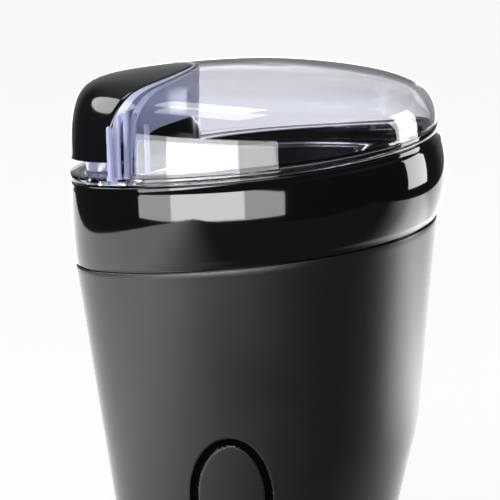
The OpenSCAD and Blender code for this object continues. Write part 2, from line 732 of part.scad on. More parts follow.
module upper_bracket() {
    cup_top = upper_bearing_z + bearing_h;
    color("lightgray") placed() difference() {
        union() {
            at_axis(upper_plate_z) linear_extrude(plate_t) bracket_plate();
            at_axis(stack_top) linear_extrude(upper_plate_z - stack_top + 0.5) screw_places()
                circle(post_r, $fn = 32);
            at_axis() rotate_extrude($fn = 64) polygon([[bearing_r + fit, upper_bearing_z],
                [cup_r, upper_bearing_z], [cup_r, cup_top + 0.5], [shaft_r + 2, cup_top + 0.5],
                [shaft_r + 2, cup_top], [bearing_r + fit, cup_top]]);
        }
        at_axis(stack_top - 1) linear_extrude(far) screw_places()
            circle(motor_screw_r + run, $fn = 32);
        mount_places() translate([0, 0, upper_plate_z - 1]) cylinder(r = stud_r + fit, h = 6, $fn = 32);
    }
}
module lower_bracket() {
    color("lightgray") placed() difference() {
        union() {
            at_axis(lower_plate_z) linear_extrude(plate_t) {
                bracket_plate();
                difference() {
                    for (at = [[0, leg_y - 2], [0, 2 - leg_y], [leg_x / 2 - 8, 0]]) translate(at)
                        square([at[1] == 0 ? -leg_x - 12 : 2 * leg_r, 2 * leg_r], center = true);
                    circle(bearing_r + 1, $fn = 64);
                }
                leg_places() circle(leg_r, $fn = 32);
            }
            at_axis(lower_plate_z + 0.5) linear_extrude(stack_z - lower_plate_z - 0.5)
                screw_places() circle(post_r, $fn = 32);
            at_axis(seat_z) linear_extrude(lower_plate_z - seat_z + 0.5) leg_places()
                circle(leg_r, $fn = 32);
            at_axis() rotate_extrude($fn = 64) polygon([[shaft_r + 2, lower_bearing_z - cup_t],
                [cup_r, lower_bearing_z - cup_t], [cup_r, lower_plate_z + plate_t],
                [bearing_r + fit, lower_plate_z + plate_t], [bearing_r + fit, lower_bearing_z],
                [shaft_r + 2, lower_bearing_z]]);
        }
        at_axis(lower_plate_z + 4) linear_extrude(far) screw_places()
            circle(motor_screw_r + press, $fn = 32);
        at_axis(seat_z - 1) linear_extrude(base_screw_len) leg_places()
            circle(base_screw_r + press, $fn = 32);
    }
}
window_r = core_half_l - 5.2;
window_half_w = 9.5;
module field_core() {
    color("gray") placed() at_axis(stack_z) linear_extrude(stack_h) difference() {
        rounded(core_half_l, core_half_w, 5);
        circle(armature_r + air_gap, $fn = 96);
        intersection() {
            circle(window_r, $fn = 96);
            square([2 * far, 2 * window_half_w], center = true);
        }
        screw_places() circle(motor_screw_r + run, $fn = 32);
    }
}
// One saddle coil round the pole at +Y: two legs in the windows and an arc over each end.
module saddle_coil() {
    coil_in = armature_r + air_gap + 0.9;
    coil_w = window_r - 0.5 - coil_in;
    over = 5;               // height of the arcs above the stack
    difference() {
        translate([0, 0, stack_z - over]) rotate([0, 0, 8]) rotate_extrude(angle = 164, $fn = 96)
            translate([coil_in, 0]) square([coil_w, stack_h + 2 * over]);
        translate([0, 0, stack_z - 0.3]) rotate([0, 0, 25]) rotate_extrude(angle = 130, $fn = 96)
            translate([coil_in - 1, 0]) square([coil_w + 2, stack_h + 0.6]);
    }
}
module field_coils() {
    color("peru") placed() at_axis() for (turn = [0, 180]) rotate([0, 0, turn]) saddle_coil();
}
brush_w = 5;
brush_h = 6;
brush_len = 11;
holder_in = commutator_r + 1.6;
holder_len = 14;
brush_z = commutator_z + commutator_h / 2;
module brush_holders() {
    color("khaki") placed() for (turn = [0, 180]) at_axis() rotate([0, 0, turn]) difference() {
        union() {
            translate([holder_in, -brush_w / 2 - 1.5, brush_z - brush_h / 2 - 1.5])
                cube([holder_len, brush_w + 3, brush_h + 3]);
            translate([holder_in + 3, -brush_w / 2 - 1.5, lower_plate_z + plate_t])
                cube([5, brush_w + 3, brush_z - brush_h / 2 - 1 - lower_plate_z - plate_t]);
        }
        translate([holder_in - 1, -brush_w / 2 - fit, brush_z - brush_h / 2 - fit])
            cube([holder_len - 1, brush_w + 2 * fit, brush_h + 2 * fit]);
    }
}
module carbon_brushes() {
    color("black") placed() for (turn = [0, 180]) at_axis() rotate([0, 0, turn]) difference() {
        translate([commutator_r - 1, -brush_w / 2, brush_z - brush_h / 2])
            cube([brush_len, brush_w, brush_h]);
        translate([0, 0, brush_z - brush_h]) cylinder(r = commutator_r + fit, h = 2 * brush_h,
            $fn = 96);
    }
}
module motor_screws() {
    head_z = upper_plate_z + plate_t;
    low = lower_plate_z + motor_screw_lift;
    color("silver") placed() at_axis() screw_places() difference() {
        union() {
            translate([0, 0, low]) cylinder(r = motor_screw_r, h = head_z - low + 0.5, $fn = 32);
            translate([0, 0, head_z]) cylinder(r = 2.8, h = 2, $fn = 32);
        }
        translate([0, 0, head_z + 2]) cube([3.6, 0.7, 2], center = true);
    }
}
module rubber_mounts() {
    low = upper_plate_z + plate_t;
    color("dimgray") placed() mount_places() rotate_extrude($fn = 48) polygon([[0, low - 2],
        [stud_r, low - 2], [stud_r, low], [mount_r, low], [mount_r - 0.8, (low + tub_floor_z) / 2],
        [mount_r, tub_floor_z], [stud_r, tub_floor_z], [stud_r, tub_floor_z + tub_floor_t],
        [0, tub_floor_z + tub_floor_t]]);
}

// ---- switch -----------------------------------------------------------------------------

slide_spring_h = 8;
shelf_t = 2;
shelf_z = slide_low - slide_spring_h;       // top of the shelf under the slide's spring
stem_r = 1.5;
stem_low = shelf_z - shelf_t - 0.5;
back_y = guide_r + 0.5;                     // front face of the switch bracket's plate
switch_top = stem_low - button_travel - 0.7;
switch_x = plunger_x - 6;
foot_l = 10;                // length and depth of the switch bracket's foot under the deck
foot_w = 8;
bracket_t = 1.6;
shelf_l = 12;               // length of the bracket's shelf
shelf_out = 5;              // how far the shelf stands out beyond the plunger's axis
pin_r = 1.2;
pin_places = [5, switch_len - 4];
module switch_slide() {
    color("white") placed() translate([plunger_x, 0, 0]) rotate_extrude($fn = 48) polygon([
        [0, stem_low], [stem_r, stem_low], [stem_r, slide_low], [slide_r + 1.4, slide_low],
        [slide_r + 1.4, slide_low + slide_collar_h], [slide_r, slide_low + slide_collar_h],
        [slide_r, slide_top - 0.6], [slide_r - 0.6, slide_top], [0, slide_top]]);
}
module slide_spring() {
    color("silver") placed() translate([plunger_x, 0, shelf_z + 0.1])
        coil(slide_r - 0.2, spring_wire, 4, slide_spring_h - 0.2);
}
module switch_bracket() {
    plate_low = switch_top - switch_tall;
    color("lightgray") placed() difference() {
        union() {
            translate([switch_x + 3, back_y, plate_low])
                cube([switch_len - 3, bracket_t, ledge_z - plate_low]);
            translate([switch_x + switch_len - foot_l, back_y, ledge_z - bracket_t])
                cube([foot_l, foot_w, bracket_t]);
            translate([plunger_x - shelf_out, -shelf_out, shelf_z - shelf_t])
                cube([shelf_l, back_y + shelf_out + bracket_t / 3, shelf_t]);
            for (dx = pin_places) translate([switch_x + dx, back_y + 0.5, switch_top - 5])
                rotate([90, 0, 0]) cylinder(r = pin_r, h = back_y + switch_deep / 2 + 0.3, $fn = 32);
        }
        translate([plunger_x, 0, shelf_z - shelf_t - 1]) cylinder(r = stem_r + run, h = 5, $fn = 32);
    }
}
module micro_switch() {
    color("black") placed() difference() {
        union() {
            translate([switch_x, -switch_deep / 2, switch_top - switch_tall + 0.5])
                cube([switch_len, switch_deep, switch_tall - 0.5]);
            translate([plunger_x, 0, switch_top - 1]) cylinder(r = 1.2, h = 1.4, $fn = 32);
            for (dx = [2, switch_len / 2, switch_len - 3])
                translate([switch_x + dx, -0.4, switch_top - switch_tall - 4]) cube([2.8, 0.8, 5]);
        }
        for (dx = pin_places) translate([switch_x + dx, far / 2, switch_top - 5])
            rotate([90, 0, 0]) cylinder(r = pin_r + fit, h = far, $fn = 32);
    }
}

// ---- base -------------------------------------------------------------------------------

base_screw_len = 14;
foot_in = 16.6;             // distance of the feet from both ends of the housing's foot
tail_foot_y = 8.5;
nose_foot_y = 13.5;
foot_places = [for (side = [-1, 1]) each [[foot_in - tail_reach(foot_h), side * tail_foot_y],
    [nose_reach(foot_h) - foot_in, side * nose_foot_y]]];
vent_pitch = 3.6;
module base_plate() {
    head_h = 1.6;
    color("black") placed() difference() {
        skin([housing_level(foot_h, plate_inset + fit), housing_level(seat_z, plate_inset + fit)]);
        for (k = [-2 : 2]) translate([axis_x - 5 + k * vent_pitch - 0.9, -8, 0])
            cube([1.8, 16, 3 * seat_z]);
        at_axis(foot_h - 1) leg_places() {
            cylinder(r = base_screw_r + run, h = far, $fn = 32);
            cylinder(r = base_screw_r + 1.7, h = head_h + 1, $fn = 32);
        }
        for (at = foot_places) translate([at[0], at[1], 0]) cylinder(r = stud_r + fit, h = far, $fn = 32);
    }
}
module base_screws() {
    color("silver") placed() at_axis() leg_places() difference() {
        union() {
            translate([0, 0, foot_h + 0.2]) cylinder(r = base_screw_r + 1.4, h = 1.4, $fn = 32);
            translate([0, 0, foot_h + 1]) cylinder(r = base_screw_r, h = base_screw_len, $fn = 32);
        }
        translate([0, 0, foot_h]) cube([3.6, 0.7, 1.6], center = true);
    }
}
module rubber_feet() {
    color("dimgray") placed() for (at = foot_places) translate([at[0], at[1], 0])
        rotate_extrude($fn = 48) polygon([[0, 0], [foot_r - 0.8, 0], [foot_r, 0.8],
            [foot_r, foot_h], [stud_r, foot_h], [stud_r, seat_z + 0.8], [0, seat_z + 0.8]]);
}
module cord_inlet() {
    out = 1.6;              // how far the bush stands out from the wall
    flange = inlet_r + 1.5;
    color("black") placed() inlet_axis() rotate_extrude($fn = 64) polygon([[cord_hole_r, -out],
        [inlet_r, -out], [inlet_r, housing_wall + 0.7], [flange, housing_wall + 0.7],
        [flange, housing_wall + 2], [inlet_r, housing_wall + 2],
        [inlet_r - 0.6, inlet_len - out], [cord_hole_r, inlet_len - out]]);
}

housing();
collar();
lid_cover();
push_button();
button_spring();
bowl_deck();
grinding_bowl();
shaft_seal();
blade();
blade_nut();
motor_shaft();
armature_core();
armature_windings();
commutator();
fan();
upper_bearing();
lower_bearing();
upper_bracket();
lower_bracket();
field_core();
field_coils();
brush_holders();
carbon_brushes();
motor_screws();
rubber_mounts();
switch_slide();
slide_spring();
micro_switch();
switch_bracket();
base_plate();
base_screws();
rubber_feet();
cord_inlet();
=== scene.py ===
"""Looks of an oval electric spice grinder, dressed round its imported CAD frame.

Sizes are the real ones in millimetres, in the CAD source's own coordinates. INTO_FRAME turns
them into the frame's metres, and every finished piece lies in the frame with its object at the
origin.
"""

import logging
from dataclasses import dataclass
from enum import Enum
from math import acos, cos, hypot, pi, radians, sin, tan
from typing import Callable, Sequence

import bmesh
import bpy
import numpy as np
from mathutils import Matrix, Vector


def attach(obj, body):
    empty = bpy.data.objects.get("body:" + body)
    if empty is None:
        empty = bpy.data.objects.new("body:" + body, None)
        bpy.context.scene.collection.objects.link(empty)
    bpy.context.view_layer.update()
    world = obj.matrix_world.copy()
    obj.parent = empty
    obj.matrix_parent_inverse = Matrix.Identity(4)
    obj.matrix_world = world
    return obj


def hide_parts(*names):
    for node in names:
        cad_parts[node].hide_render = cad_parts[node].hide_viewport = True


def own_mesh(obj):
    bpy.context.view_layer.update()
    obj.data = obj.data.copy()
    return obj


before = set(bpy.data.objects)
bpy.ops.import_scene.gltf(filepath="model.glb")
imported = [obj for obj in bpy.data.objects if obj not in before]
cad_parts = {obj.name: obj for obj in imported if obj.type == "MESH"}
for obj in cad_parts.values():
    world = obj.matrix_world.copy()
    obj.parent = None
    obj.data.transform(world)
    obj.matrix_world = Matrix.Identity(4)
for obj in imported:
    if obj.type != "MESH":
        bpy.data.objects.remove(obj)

LOG = logging.getLogger("grinder")
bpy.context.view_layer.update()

Point = tuple[float, float, float]
Ring = Callable[[float], Point]

MM = 0.001
WHITE = (1.0, 1.0, 1.0, 1.0)
CENTRE_SHIFT = -1.3  # puts the middle of the object's box over the origin
INTO_FRAME = Matrix.Scale(MM, 4) @ Matrix.Translation((CENTRE_SHIFT, 0.0, 0.0))
WELD = 0.004  # corners closer than this are one corner
WIRE_SIDES = 10  # faces round a spring's wire
COIL_STEPS = 28  # faces along each turn of a spring
# The end turns of a ground spring lie flat: share of its wire, and of its height.
GROUND_ENDS = ([0, 0.1, 0.9, 1], [0, 0.02, 0.98, 1])
SHARP = radians(34)  # an edge that bends more than this keeps a crisp line
TINY = 1e-9  # keeps a divisor off zero


def mix(low: float, high: float, share: float) -> float:
    """Returns the value at a share of the way from low to high."""
    return low + (high - low) * share


def rounding(radius: float, turns: range) -> list[tuple[float, float]]:
    """Follows a rounded edge through a quarter turn.

    Args:
        radius: the edge's radius.
        turns: the angles in degrees.

    Returns:
        At each angle, how far it lies off the first face and off the second.
    """
    angles = [radians(d) for d in turns]
    return [(radius * (1 - cos(a)), radius * (1 - sin(a))) for a in angles]


# ---- finishes -----------------------------------------------------------------------------


def linear(hex_colour: str) -> tuple[float, float, float, float]:
    """Turns an sRGB hex colour into linear values.

    Args:
        hex_colour: six hex digits, such as "3a3b3d".

    Returns:
        Red, green, blue and an alpha of 1.
    """
    parts = [int(hex_colour[k : k + 2], 16) / 255 for k in (0, 2, 4)]
    red, green, blue = (
        c / 12.92 if c <= 0.04045 else ((c + 0.055) / 1.055) ** 2.4 for c in parts
    )
    return red, green, blue, 1.0


def add(
    tree: bpy.types.NodeTree, kind: str, feeds: dict | None = None, **settings: object
) -> bpy.types.NodeOutputs:
    """Adds one shader node with its settings and links.

    Args:
        tree: the node tree that gets the node.
        kind: the node's type name, after ShaderNode.
        feeds: input name or number to a plain value or to the output that feeds it.
        settings: the node's own attributes.

    Returns:
        The new node's outputs.
    """
    made = tree.nodes.new("ShaderNode" + kind)
    for key, value in settings.items():
        setattr(made, key, value)
    for key, value in (feeds or {}).items():
        if isinstance(value, bpy.types.NodeSocket):
            tree.links.new(value, made.inputs[key])
        else:
            made.inputs[key].default_value = value
    return made.outputs


def empty_tree(owner: bpy.types.Material | bpy.types.World) -> bpy.types.NodeTree:
    """Empties a node tree.

    Args:
        owner: the material or world that has it.

    Returns:
        The tree.
    """
    owner.use_nodes = True
    owner.node_tree.nodes.clear()
    return owner.node_tree


class Pattern(Enum):
    """How a surface was made, which gives its fine pattern."""

    GRAIN = "sparked or sanded mould: an even fine grain"
    FLOW = "polished mould: long, hardly visible waves"
    SPUN = "turned or spun: fine circles about the motor's axis"
    BRUSHED = "ground: short streaks along the piece"
    LAYERED = "stacked sheets: level lines"
    WOUND = "wound wire: close level rows"


# How many pitches long a pattern runs along X and along Y.
RUNS = {Pattern.BRUSHED: (30, 1), Pattern.LAYERED: (200, 200), Pattern.WOUND: (60, 60)}
MOTOR_X = 16.0  # the motor's axis, about which the turned pieces' circles lie


@dataclass(frozen=True)
class Finish:
    """One finish, from its real material and how its surface was made.

    colour and worn are the two hex shades that the surface varies between. pitch is the
    pattern's real spacing in millimetres, relief its depth in millimetres.
    """

    name: str
    colour: str
    worn: str
    roughness: float
    pattern: Pattern
    pitch: float
    relief: float
    metallic: float = 0.0
    ior: float = 1.5
    transmission: float = 0.0
    coat: float = 0.0
    roughness_spread: float = 0.04

    CLOUD = 26.0  # size of the broad changes of shade, in millimetres
    BLEND_SPAN = (0.1, 0.45)  # where the product of the two noises lies
    COAT_ROUGHNESS = 0.05

    def _coordinates(self, tree: bpy.types.NodeTree) -> bpy.types.NodeSocket:
        """Lays the pattern out, one unit to each pitch.

        Args:
            tree: the material's node tree.

        Returns:
            The pattern's coordinates.
        """
        unit = 1.0 / (self.pitch * MM)
        run_x, run_y = RUNS.get(self.pattern, (1, 1))
        place = add(tree, "TexCoord")["Object"]
        if self.pattern is Pattern.SPUN:
            middle = ((MOTOR_X + CENTRE_SHIFT) * MM, 0.0, 0.0)
            centred = add(tree, "VectorMath", {0: place, 1: middle}, operation="SUBTRACT")[0]
            split = add(tree, "SeparateXYZ", {0: centred})
            flat = add(tree, "CombineXYZ", {0: split[0], 1: split[1]})[0]
            radius = add(tree, "VectorMath", {0: flat}, operation="LENGTH")["Value"]
            place = add(tree, "CombineXYZ", {0: radius, 2: split[2]})[0]
        scale = (unit / run_x, unit / run_y, unit)
        return add(tree, "Mapping", {"Vector": place, "Scale": scale})[0]

    def material(self) -> bpy.types.Material:
        """Builds the finish as a procedural material, once.

        Returns:
            The material, named for what the real one is.
        """
        known = bpy.data.materials.get(self.name)
        if known:
            return known
        made = bpy.data.materials.new(self.name)
        tree = empty_tree(made)
        fine = add(tree, "TexNoise", {
            "Vector": self._coordinates(tree), "Scale": 1.0, "Detail": 3.0, "Roughness": 0.55,
        })["Fac"]
        broad = add(tree, "TexNoise", {
            "Vector": add(tree, "TexCoord")["Object"],
            "Scale": 1.0 / (self.CLOUD * MM),
            "Detail": 2.0,
        })["Fac"]
        blend = add(tree, "Math", {0: fine, 1: broad}, operation="MULTIPLY")[0]
        spread = add(tree, "MapRange", {
            "Value": blend,
            "From Min": self.BLEND_SPAN[0],
            "From Max": self.BLEND_SPAN[1],
            "To Min": self.roughness - self.roughness_spread,
            "To Max": self.roughness + self.roughness_spread,
        })[0]
        tint = add(
            tree, "Mix", {"Factor": blend, 6: linear(self.colour), 7: linear(self.worn)},
            data_type="RGBA",
        )[2]
        relief = add(tree, "Bump", {
            "Height": fine, "Strength": 1.0, "Distance": self.relief * MM,
        })[0]
        shader = add(tree, "BsdfPrincipled", {
            "Base Color": tint,
            "Roughness": spread,
            "Normal": relief,
            "Metallic": self.metallic,
            "IOR": self.ior,
            "Transmission Weight": self.transmission,
            "Coat Weight": self.coat,
            "Coat Roughness": self.COAT_ROUGHNESS,
        })[0]
        add(tree, "OutputMaterial", {"Surface": shader})
        return made


@dataclass(frozen=True)
class Metal(Finish):
    """A finish of bare metal."""

    metallic: float = 1.0


# The mould of the housing is spark-eroded: a satin dark grey with a soft, wide highlight.
HOUSING_ABS = Finish("ABS, satin mould", "0f0f11", "171719", 0.34, Pattern.GRAIN, 0.5, 0.012)
# Painted shade: the groove round the plain field is coloured nearly black and given little
# shine, to stand in for the shade that falls in it.
GROOVE_PAINTED_SHADE = Finish(
    "ABS, groove, painted shade", "020202", "050506", 0.9, Pattern.GRAIN, 0.5, 0.02, ior=1.1
)
# Polished mould: black with sharp reflections that bend a little where the plastic sank.
BLACK_ABS = Finish(
    "ABS, polished mould", "060607", "0b0b0d", 0.05, Pattern.FLOW, 18.0, 0.02,
    roughness_spread=0.02,
)
BUTTON_ABS = Finish(
    "ABS, polished mould, button", "08080a", "0e0e10", 0.08, Pattern.FLOW, 14.0, 0.02,
    roughness_spread=0.02,
)
# Clear styrene plastic from a polished mould: hardly any colour where it is thin.
LID_SAN = Finish(
    "SAN, clear", "f6f7fd", "f2f3fb", 0.02, Pattern.FLOW, 22.0, 0.02, transmission=1.0,
    roughness_spread=0.008,
)
# Painted glow: the well's edge, the guide tower and the ribs are made pale blue-violet and
# partly matt, so that they look lit as thick clear plastic does where it catches light; only a
# faint blue tint is the plastic's own.
LID_EDGE_GLOW = Finish(
    "SAN, clear, edge, painted glow", "c6ccf1", "dadff8", 0.14, Pattern.FLOW, 9.0, 0.05,
    transmission=0.58, roughness_spread=0.05,
)
# Drawn wire: bright, with lines along its length.
SPRING_STEEL = Metal(
    "spring wire, drawn", "9b9ca0", "b3b4b8", 0.26, Pattern.BRUSHED, 0.3, 0.004
)

CAD_FINISHES: dict[Finish, Sequence[str]] = {
    # Glass-filled plastic under the lid: dull black with a coarse mould.
    Finish("polypropylene, black", "030304", "070708", 0.8, Pattern.GRAIN, 0.6, 0.006, ior=1.3):
        ("bowl_deck", "fan"),
    Finish("polypropylene, textured", "141415", "202022", 0.55, Pattern.GRAIN, 0.9, 0.05):
        ("base_plate",),
    # Deep-drawn stainless sheet, polished on a spindle: fine circles round the bowl.
    Metal("stainless steel, spun", "a1a2a5", "b7b8bb", 0.18, Pattern.SPUN, 0.5, 0.003):
        ("grinding_bowl",),
    # Ground on a belt: short streaks that spread the light along the wings.
    Metal("stainless steel, ground", "b4b5b8", "cacbce", 0.24, Pattern.BRUSHED, 0.35, 0.008):
        ("blade",),
    Metal("stainless steel, turned", "c3c4c6", "d3d4d6", 0.14, Pattern.SPUN, 0.4, 0.004):
        ("blade_nut",),
    Metal("steel, centreless ground", "9fa0a3", "b4b5b7", 0.2, Pattern.SPUN, 0.3, 0.003):
        ("motor_shaft",),
    Metal("bearing steel, ground", "b0b1b4", "c6c7ca", 0.16, Pattern.SPUN, 0.3, 0.003):
        ("upper_bearing", "lower_bearing"),
    # Thin zinc: a soft grey shine.
    Metal("steel, zinc plated", "a9abad", "c1c3c6", 0.28, Pattern.GRAIN, 0.5, 0.006):
        ("motor_screws", "base_screws"),
    # Motor iron: half-millimetre sheets under thin varnish, seen on edge.
    Metal("electrical steel, laminated", "4c4d50", "6c6d70", 0.42, Pattern.LAYERED, 0.5, 0.05):
        ("armature_core", "field_core"),
    # Enamelled magnet wire, 0.35 mm thick, in close rows under clear varnish.
    Finish("copper wire, enamelled", "8a3f1c", "b86333", 0.3, Pattern.WOUND, 0.35, 0.12,
           metallic=0.6, coat=0.4): ("armature_windings", "field_coils"),
    Metal("copper, turned", "a8663f", "c88358", 0.3, Pattern.SPUN, 0.4, 0.01):
        ("commutator",),
    Metal("brass sheet, stamped", "a98b4c", "c2a566", 0.32, Pattern.BRUSHED, 0.4, 0.006):
        ("brush_holders",),
    Finish("carbon, pressed", "171719", "242427", 0.6, Pattern.GRAIN, 0.3, 0.03):
        ("carbon_brushes",),
    # Die cast: a coarse, dull silver skin.
    Metal("aluminium, die cast", "8f9193", "a8aaac", 0.46, Pattern.GRAIN, 1.2, 0.04):
        ("upper_bracket", "lower_bracket"),
    Finish("acetal, white", "dcdcd8", "e8e8e4", 0.32, Pattern.GRAIN, 0.8, 0.01):
        ("switch_slide",),
    Finish("nylon, black", "161618", "222225", 0.44, Pattern.GRAIN, 0.6, 0.02):
        ("micro_switch",),
    Finish("nylon, grey", "77787b", "86878a", 0.42, Pattern.GRAIN, 0.7, 0.02):
        ("switch_bracket",),
    # Moulded rubber stays matt and picks up pale dust in its grain.
    Finish("rubber, moulded", "161616", "2a2a2a", 0.78, Pattern.GRAIN, 0.7, 0.06):
        ("shaft_seal", "rubber_mounts", "rubber_feet", "cord_inlet"),
}


# ---- making meshes ------------------------------------------------------------------------


def mapped_grid(
    columns: int, rows: int, place: Callable[[int, int], Point], into: bmesh.types.BMesh
) -> None:
    """Adds a grid of faces whose corners are laid out by a rule.

    Args:
        columns: number of faces along a row.
        rows: number of rows of faces.
        place: gives the corner at (column, row).
        into: the mesh that gets the grid.
    """
    made = bmesh.ops.create_grid(into, x_segments=columns, y_segments=rows, size=0.5)
    for corner in made["verts"]:
        column = round((corner.co.x + 0.5) * columns)
        row = round((corner.co.y + 0.5) * rows)
        corner.co = place(column, row)


def lofted(rings: Sequence[Ring], angles: Sequence[float]) -> bmesh.types.BMesh:
    """Makes a closed skin through rings, of which the last joins the first.

    Args:
        rings: the rings in order, each a rule from angle to place.
        angles: the angles of the corners of each ring, once round.

    Returns:
        The skin, with its seams welded.
    """
    mesh = bmesh.new()
    count = len(angles)
    mapped_grid(
        count,
        len(rings),
        lambda column, row: rings[row % len(rings)](angles[column % count]),
        mesh,
    )
    bmesh.ops.remove_doubles(mesh, verts=mesh.verts, dist=WELD)
    return mesh


def turned(
    profile: Sequence[tuple[float, float]], steps: int, x: float, y: float = 0.0
) -> bmesh.types.BMesh:
    """Turns a closed profile about an upright axis.

    Args:
        profile: (radius, height) corners, in order round the profile.
        steps: number of faces round the axis.
        x: the axis' place along X.
        y: the axis' place along Y.

    Returns:
        The turned mesh.
    """
    mesh = bmesh.new()
    corners = [mesh.verts.new((r, 0.0, z)) for r, z in profile]
    edges = [
        mesh.edges.new((corners[k], corners[(k + 1) % len(corners)]))
        for k in range(len(corners))
    ]
    bmesh.ops.spin(
        mesh,
        geom=[*corners, *edges],
        cent=(0, 0, 0),
        axis=(0, 0, 1),
        angle=2 * pi,
        steps=steps,
        use_merge=True,
    )
    bmesh.ops.remove_doubles(mesh, verts=mesh.verts, dist=WELD)
    bmesh.ops.translate(mesh, verts=mesh.verts, vec=(x, y, 0))
    return mesh


def coiled(
    mean_radius: float, wire: float, turns: float, height: float, base: Point
) -> bmesh.types.BMesh:
    """Winds a compression spring.

    Args:
        mean_radius: radius of the wire's centreline.
        wire: thickness of the wire.
        turns: number of turns.
        height: height over the wire.
        base: middle of the spring's lower end.

    Returns:
        The spring as one closed tube.
    """
    around, steps = WIRE_SIDES, int(COIL_STEPS * turns)

    def place(column: int, row: int) -> Point:
        turn = 2 * pi * turns * row / steps
        climb = np.interp(row / steps, *GROUND_ENDS)
        side = 2 * pi * column / around
        reach = mean_radius + wire / 2 * cos(side)
        return (
            base[0] + reach * cos(turn),
            base[1] + reach * sin(turn),
            base[2] + wire / 2 + (height - wire) * float(climb) + wire / 2 * sin(side),
        )

    mesh = bmesh.new()
    mapped_grid(around, steps, place, mesh)
    bmesh.ops.remove_doubles(mesh, verts=mesh.verts, dist=WELD)
    bmesh.ops.holes_fill(mesh, edges=[e for e in mesh.edges if e.is_boundary])
    return mesh


def as_object(name: str, mesh: bmesh.types.BMesh) -> bpy.types.Object:
    """Turns a mesh in millimetres into an object in the frame, smooth but for its sharp edges.

    Args:
        name: the object's name.
        mesh: the mesh, which is used up.

    Returns:
        The object, at the origin.
    """
    bmesh.ops.recalc_face_normals(mesh, faces=mesh.faces)
    bmesh.ops.transform(mesh, matrix=INTO_FRAME, verts=mesh.verts)
    data = bpy.data.meshes.new(name)
    mesh.to_mesh(data)
    mesh.free()
    made = bpy.data.objects.new(name, data)
    bpy.context.scene.collection.objects.link(made)
    shade(made)
    return made


def shade(piece: bpy.types.Object) -> None:
    """Shades a piece smooth and keeps its sharp edges crisp."""
    piece.data.polygons.foreach_set("use_smooth", [True] * len(piece.data.polygons))
    piece.data.set_sharp_from_angle(angle=SHARP)


class Joining(Enum):
    """How a tool changes the piece that it is combined with."""

    UNION = "UNION"
    DIFFERENCE = "DIFFERENCE"


def combine(piece: bpy.types.Object, tool: bpy.types.Object, joining: Joining) -> None:
    """Joins a tool to a piece, or cuts it out, and uses up the tool.

    Args:
        piece: the piece that is changed.
        tool: the other solid.
        joining: whether the tool is added or taken away.
    """
    step = piece.modifiers.new("combine", "BOOLEAN")
    step.operation, step.object, step.solver = joining.value, tool, "EXACT"
    graph = bpy.context.evaluated_depsgraph_get()
    result = bpy.data.meshes.new_from_object(piece.evaluated_get(graph))
    piece.modifiers.clear()
    piece.data = result
    bpy.data.objects.remove(tool)
    shade(piece)


def dress(
    piece: bpy.types.Object,
    finish: Finish,
    body: str,
    stands_for: Sequence[str] = (),
) -> None:
    """Gives a piece its finish and puts it on its body.

    Args:
        piece: the finished piece.
        finish: its finish, unless its faces have theirs.
        body: the CAD body that it rides on.
        stands_for: the CAD nodes that it replaces.
    """
    if not piece.data.materials:
        piece.data.materials.append(finish.material())
    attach(piece, body)
    if stands_for:
        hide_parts(*stands_for)
    LOG.info("%s: %d faces on %s", piece.name, len(piece.data.polygons), body)


# ---- form of the body ---------------------------------------------------------------------


def egg_ring(tail: float, nose: float, side: float, z_tail: float, z_nose: float) -> Ring:
    """Makes the rule of one egg-shaped ring in a plane that rises from z_tail to z_nose.

    Args:
        tail: reach towards -X.
        nose: reach towards +X.
        side: half width, before the egg shape widens it.
        z_tail: height at the tail.
        z_nose: height at the nose.

    Returns:
        The ring, as a rule from angle to place.
    """

    def at(angle: float) -> Point:
        x = (nose - tail) / 2 + (nose + tail) / 2 * cos(angle)
        y = side * sin(angle) * (1 + BodyForm.egg * cos(angle))
        return x, y, mix(z_tail, z_nose, (x + tail) / (nose + tail))

    return at


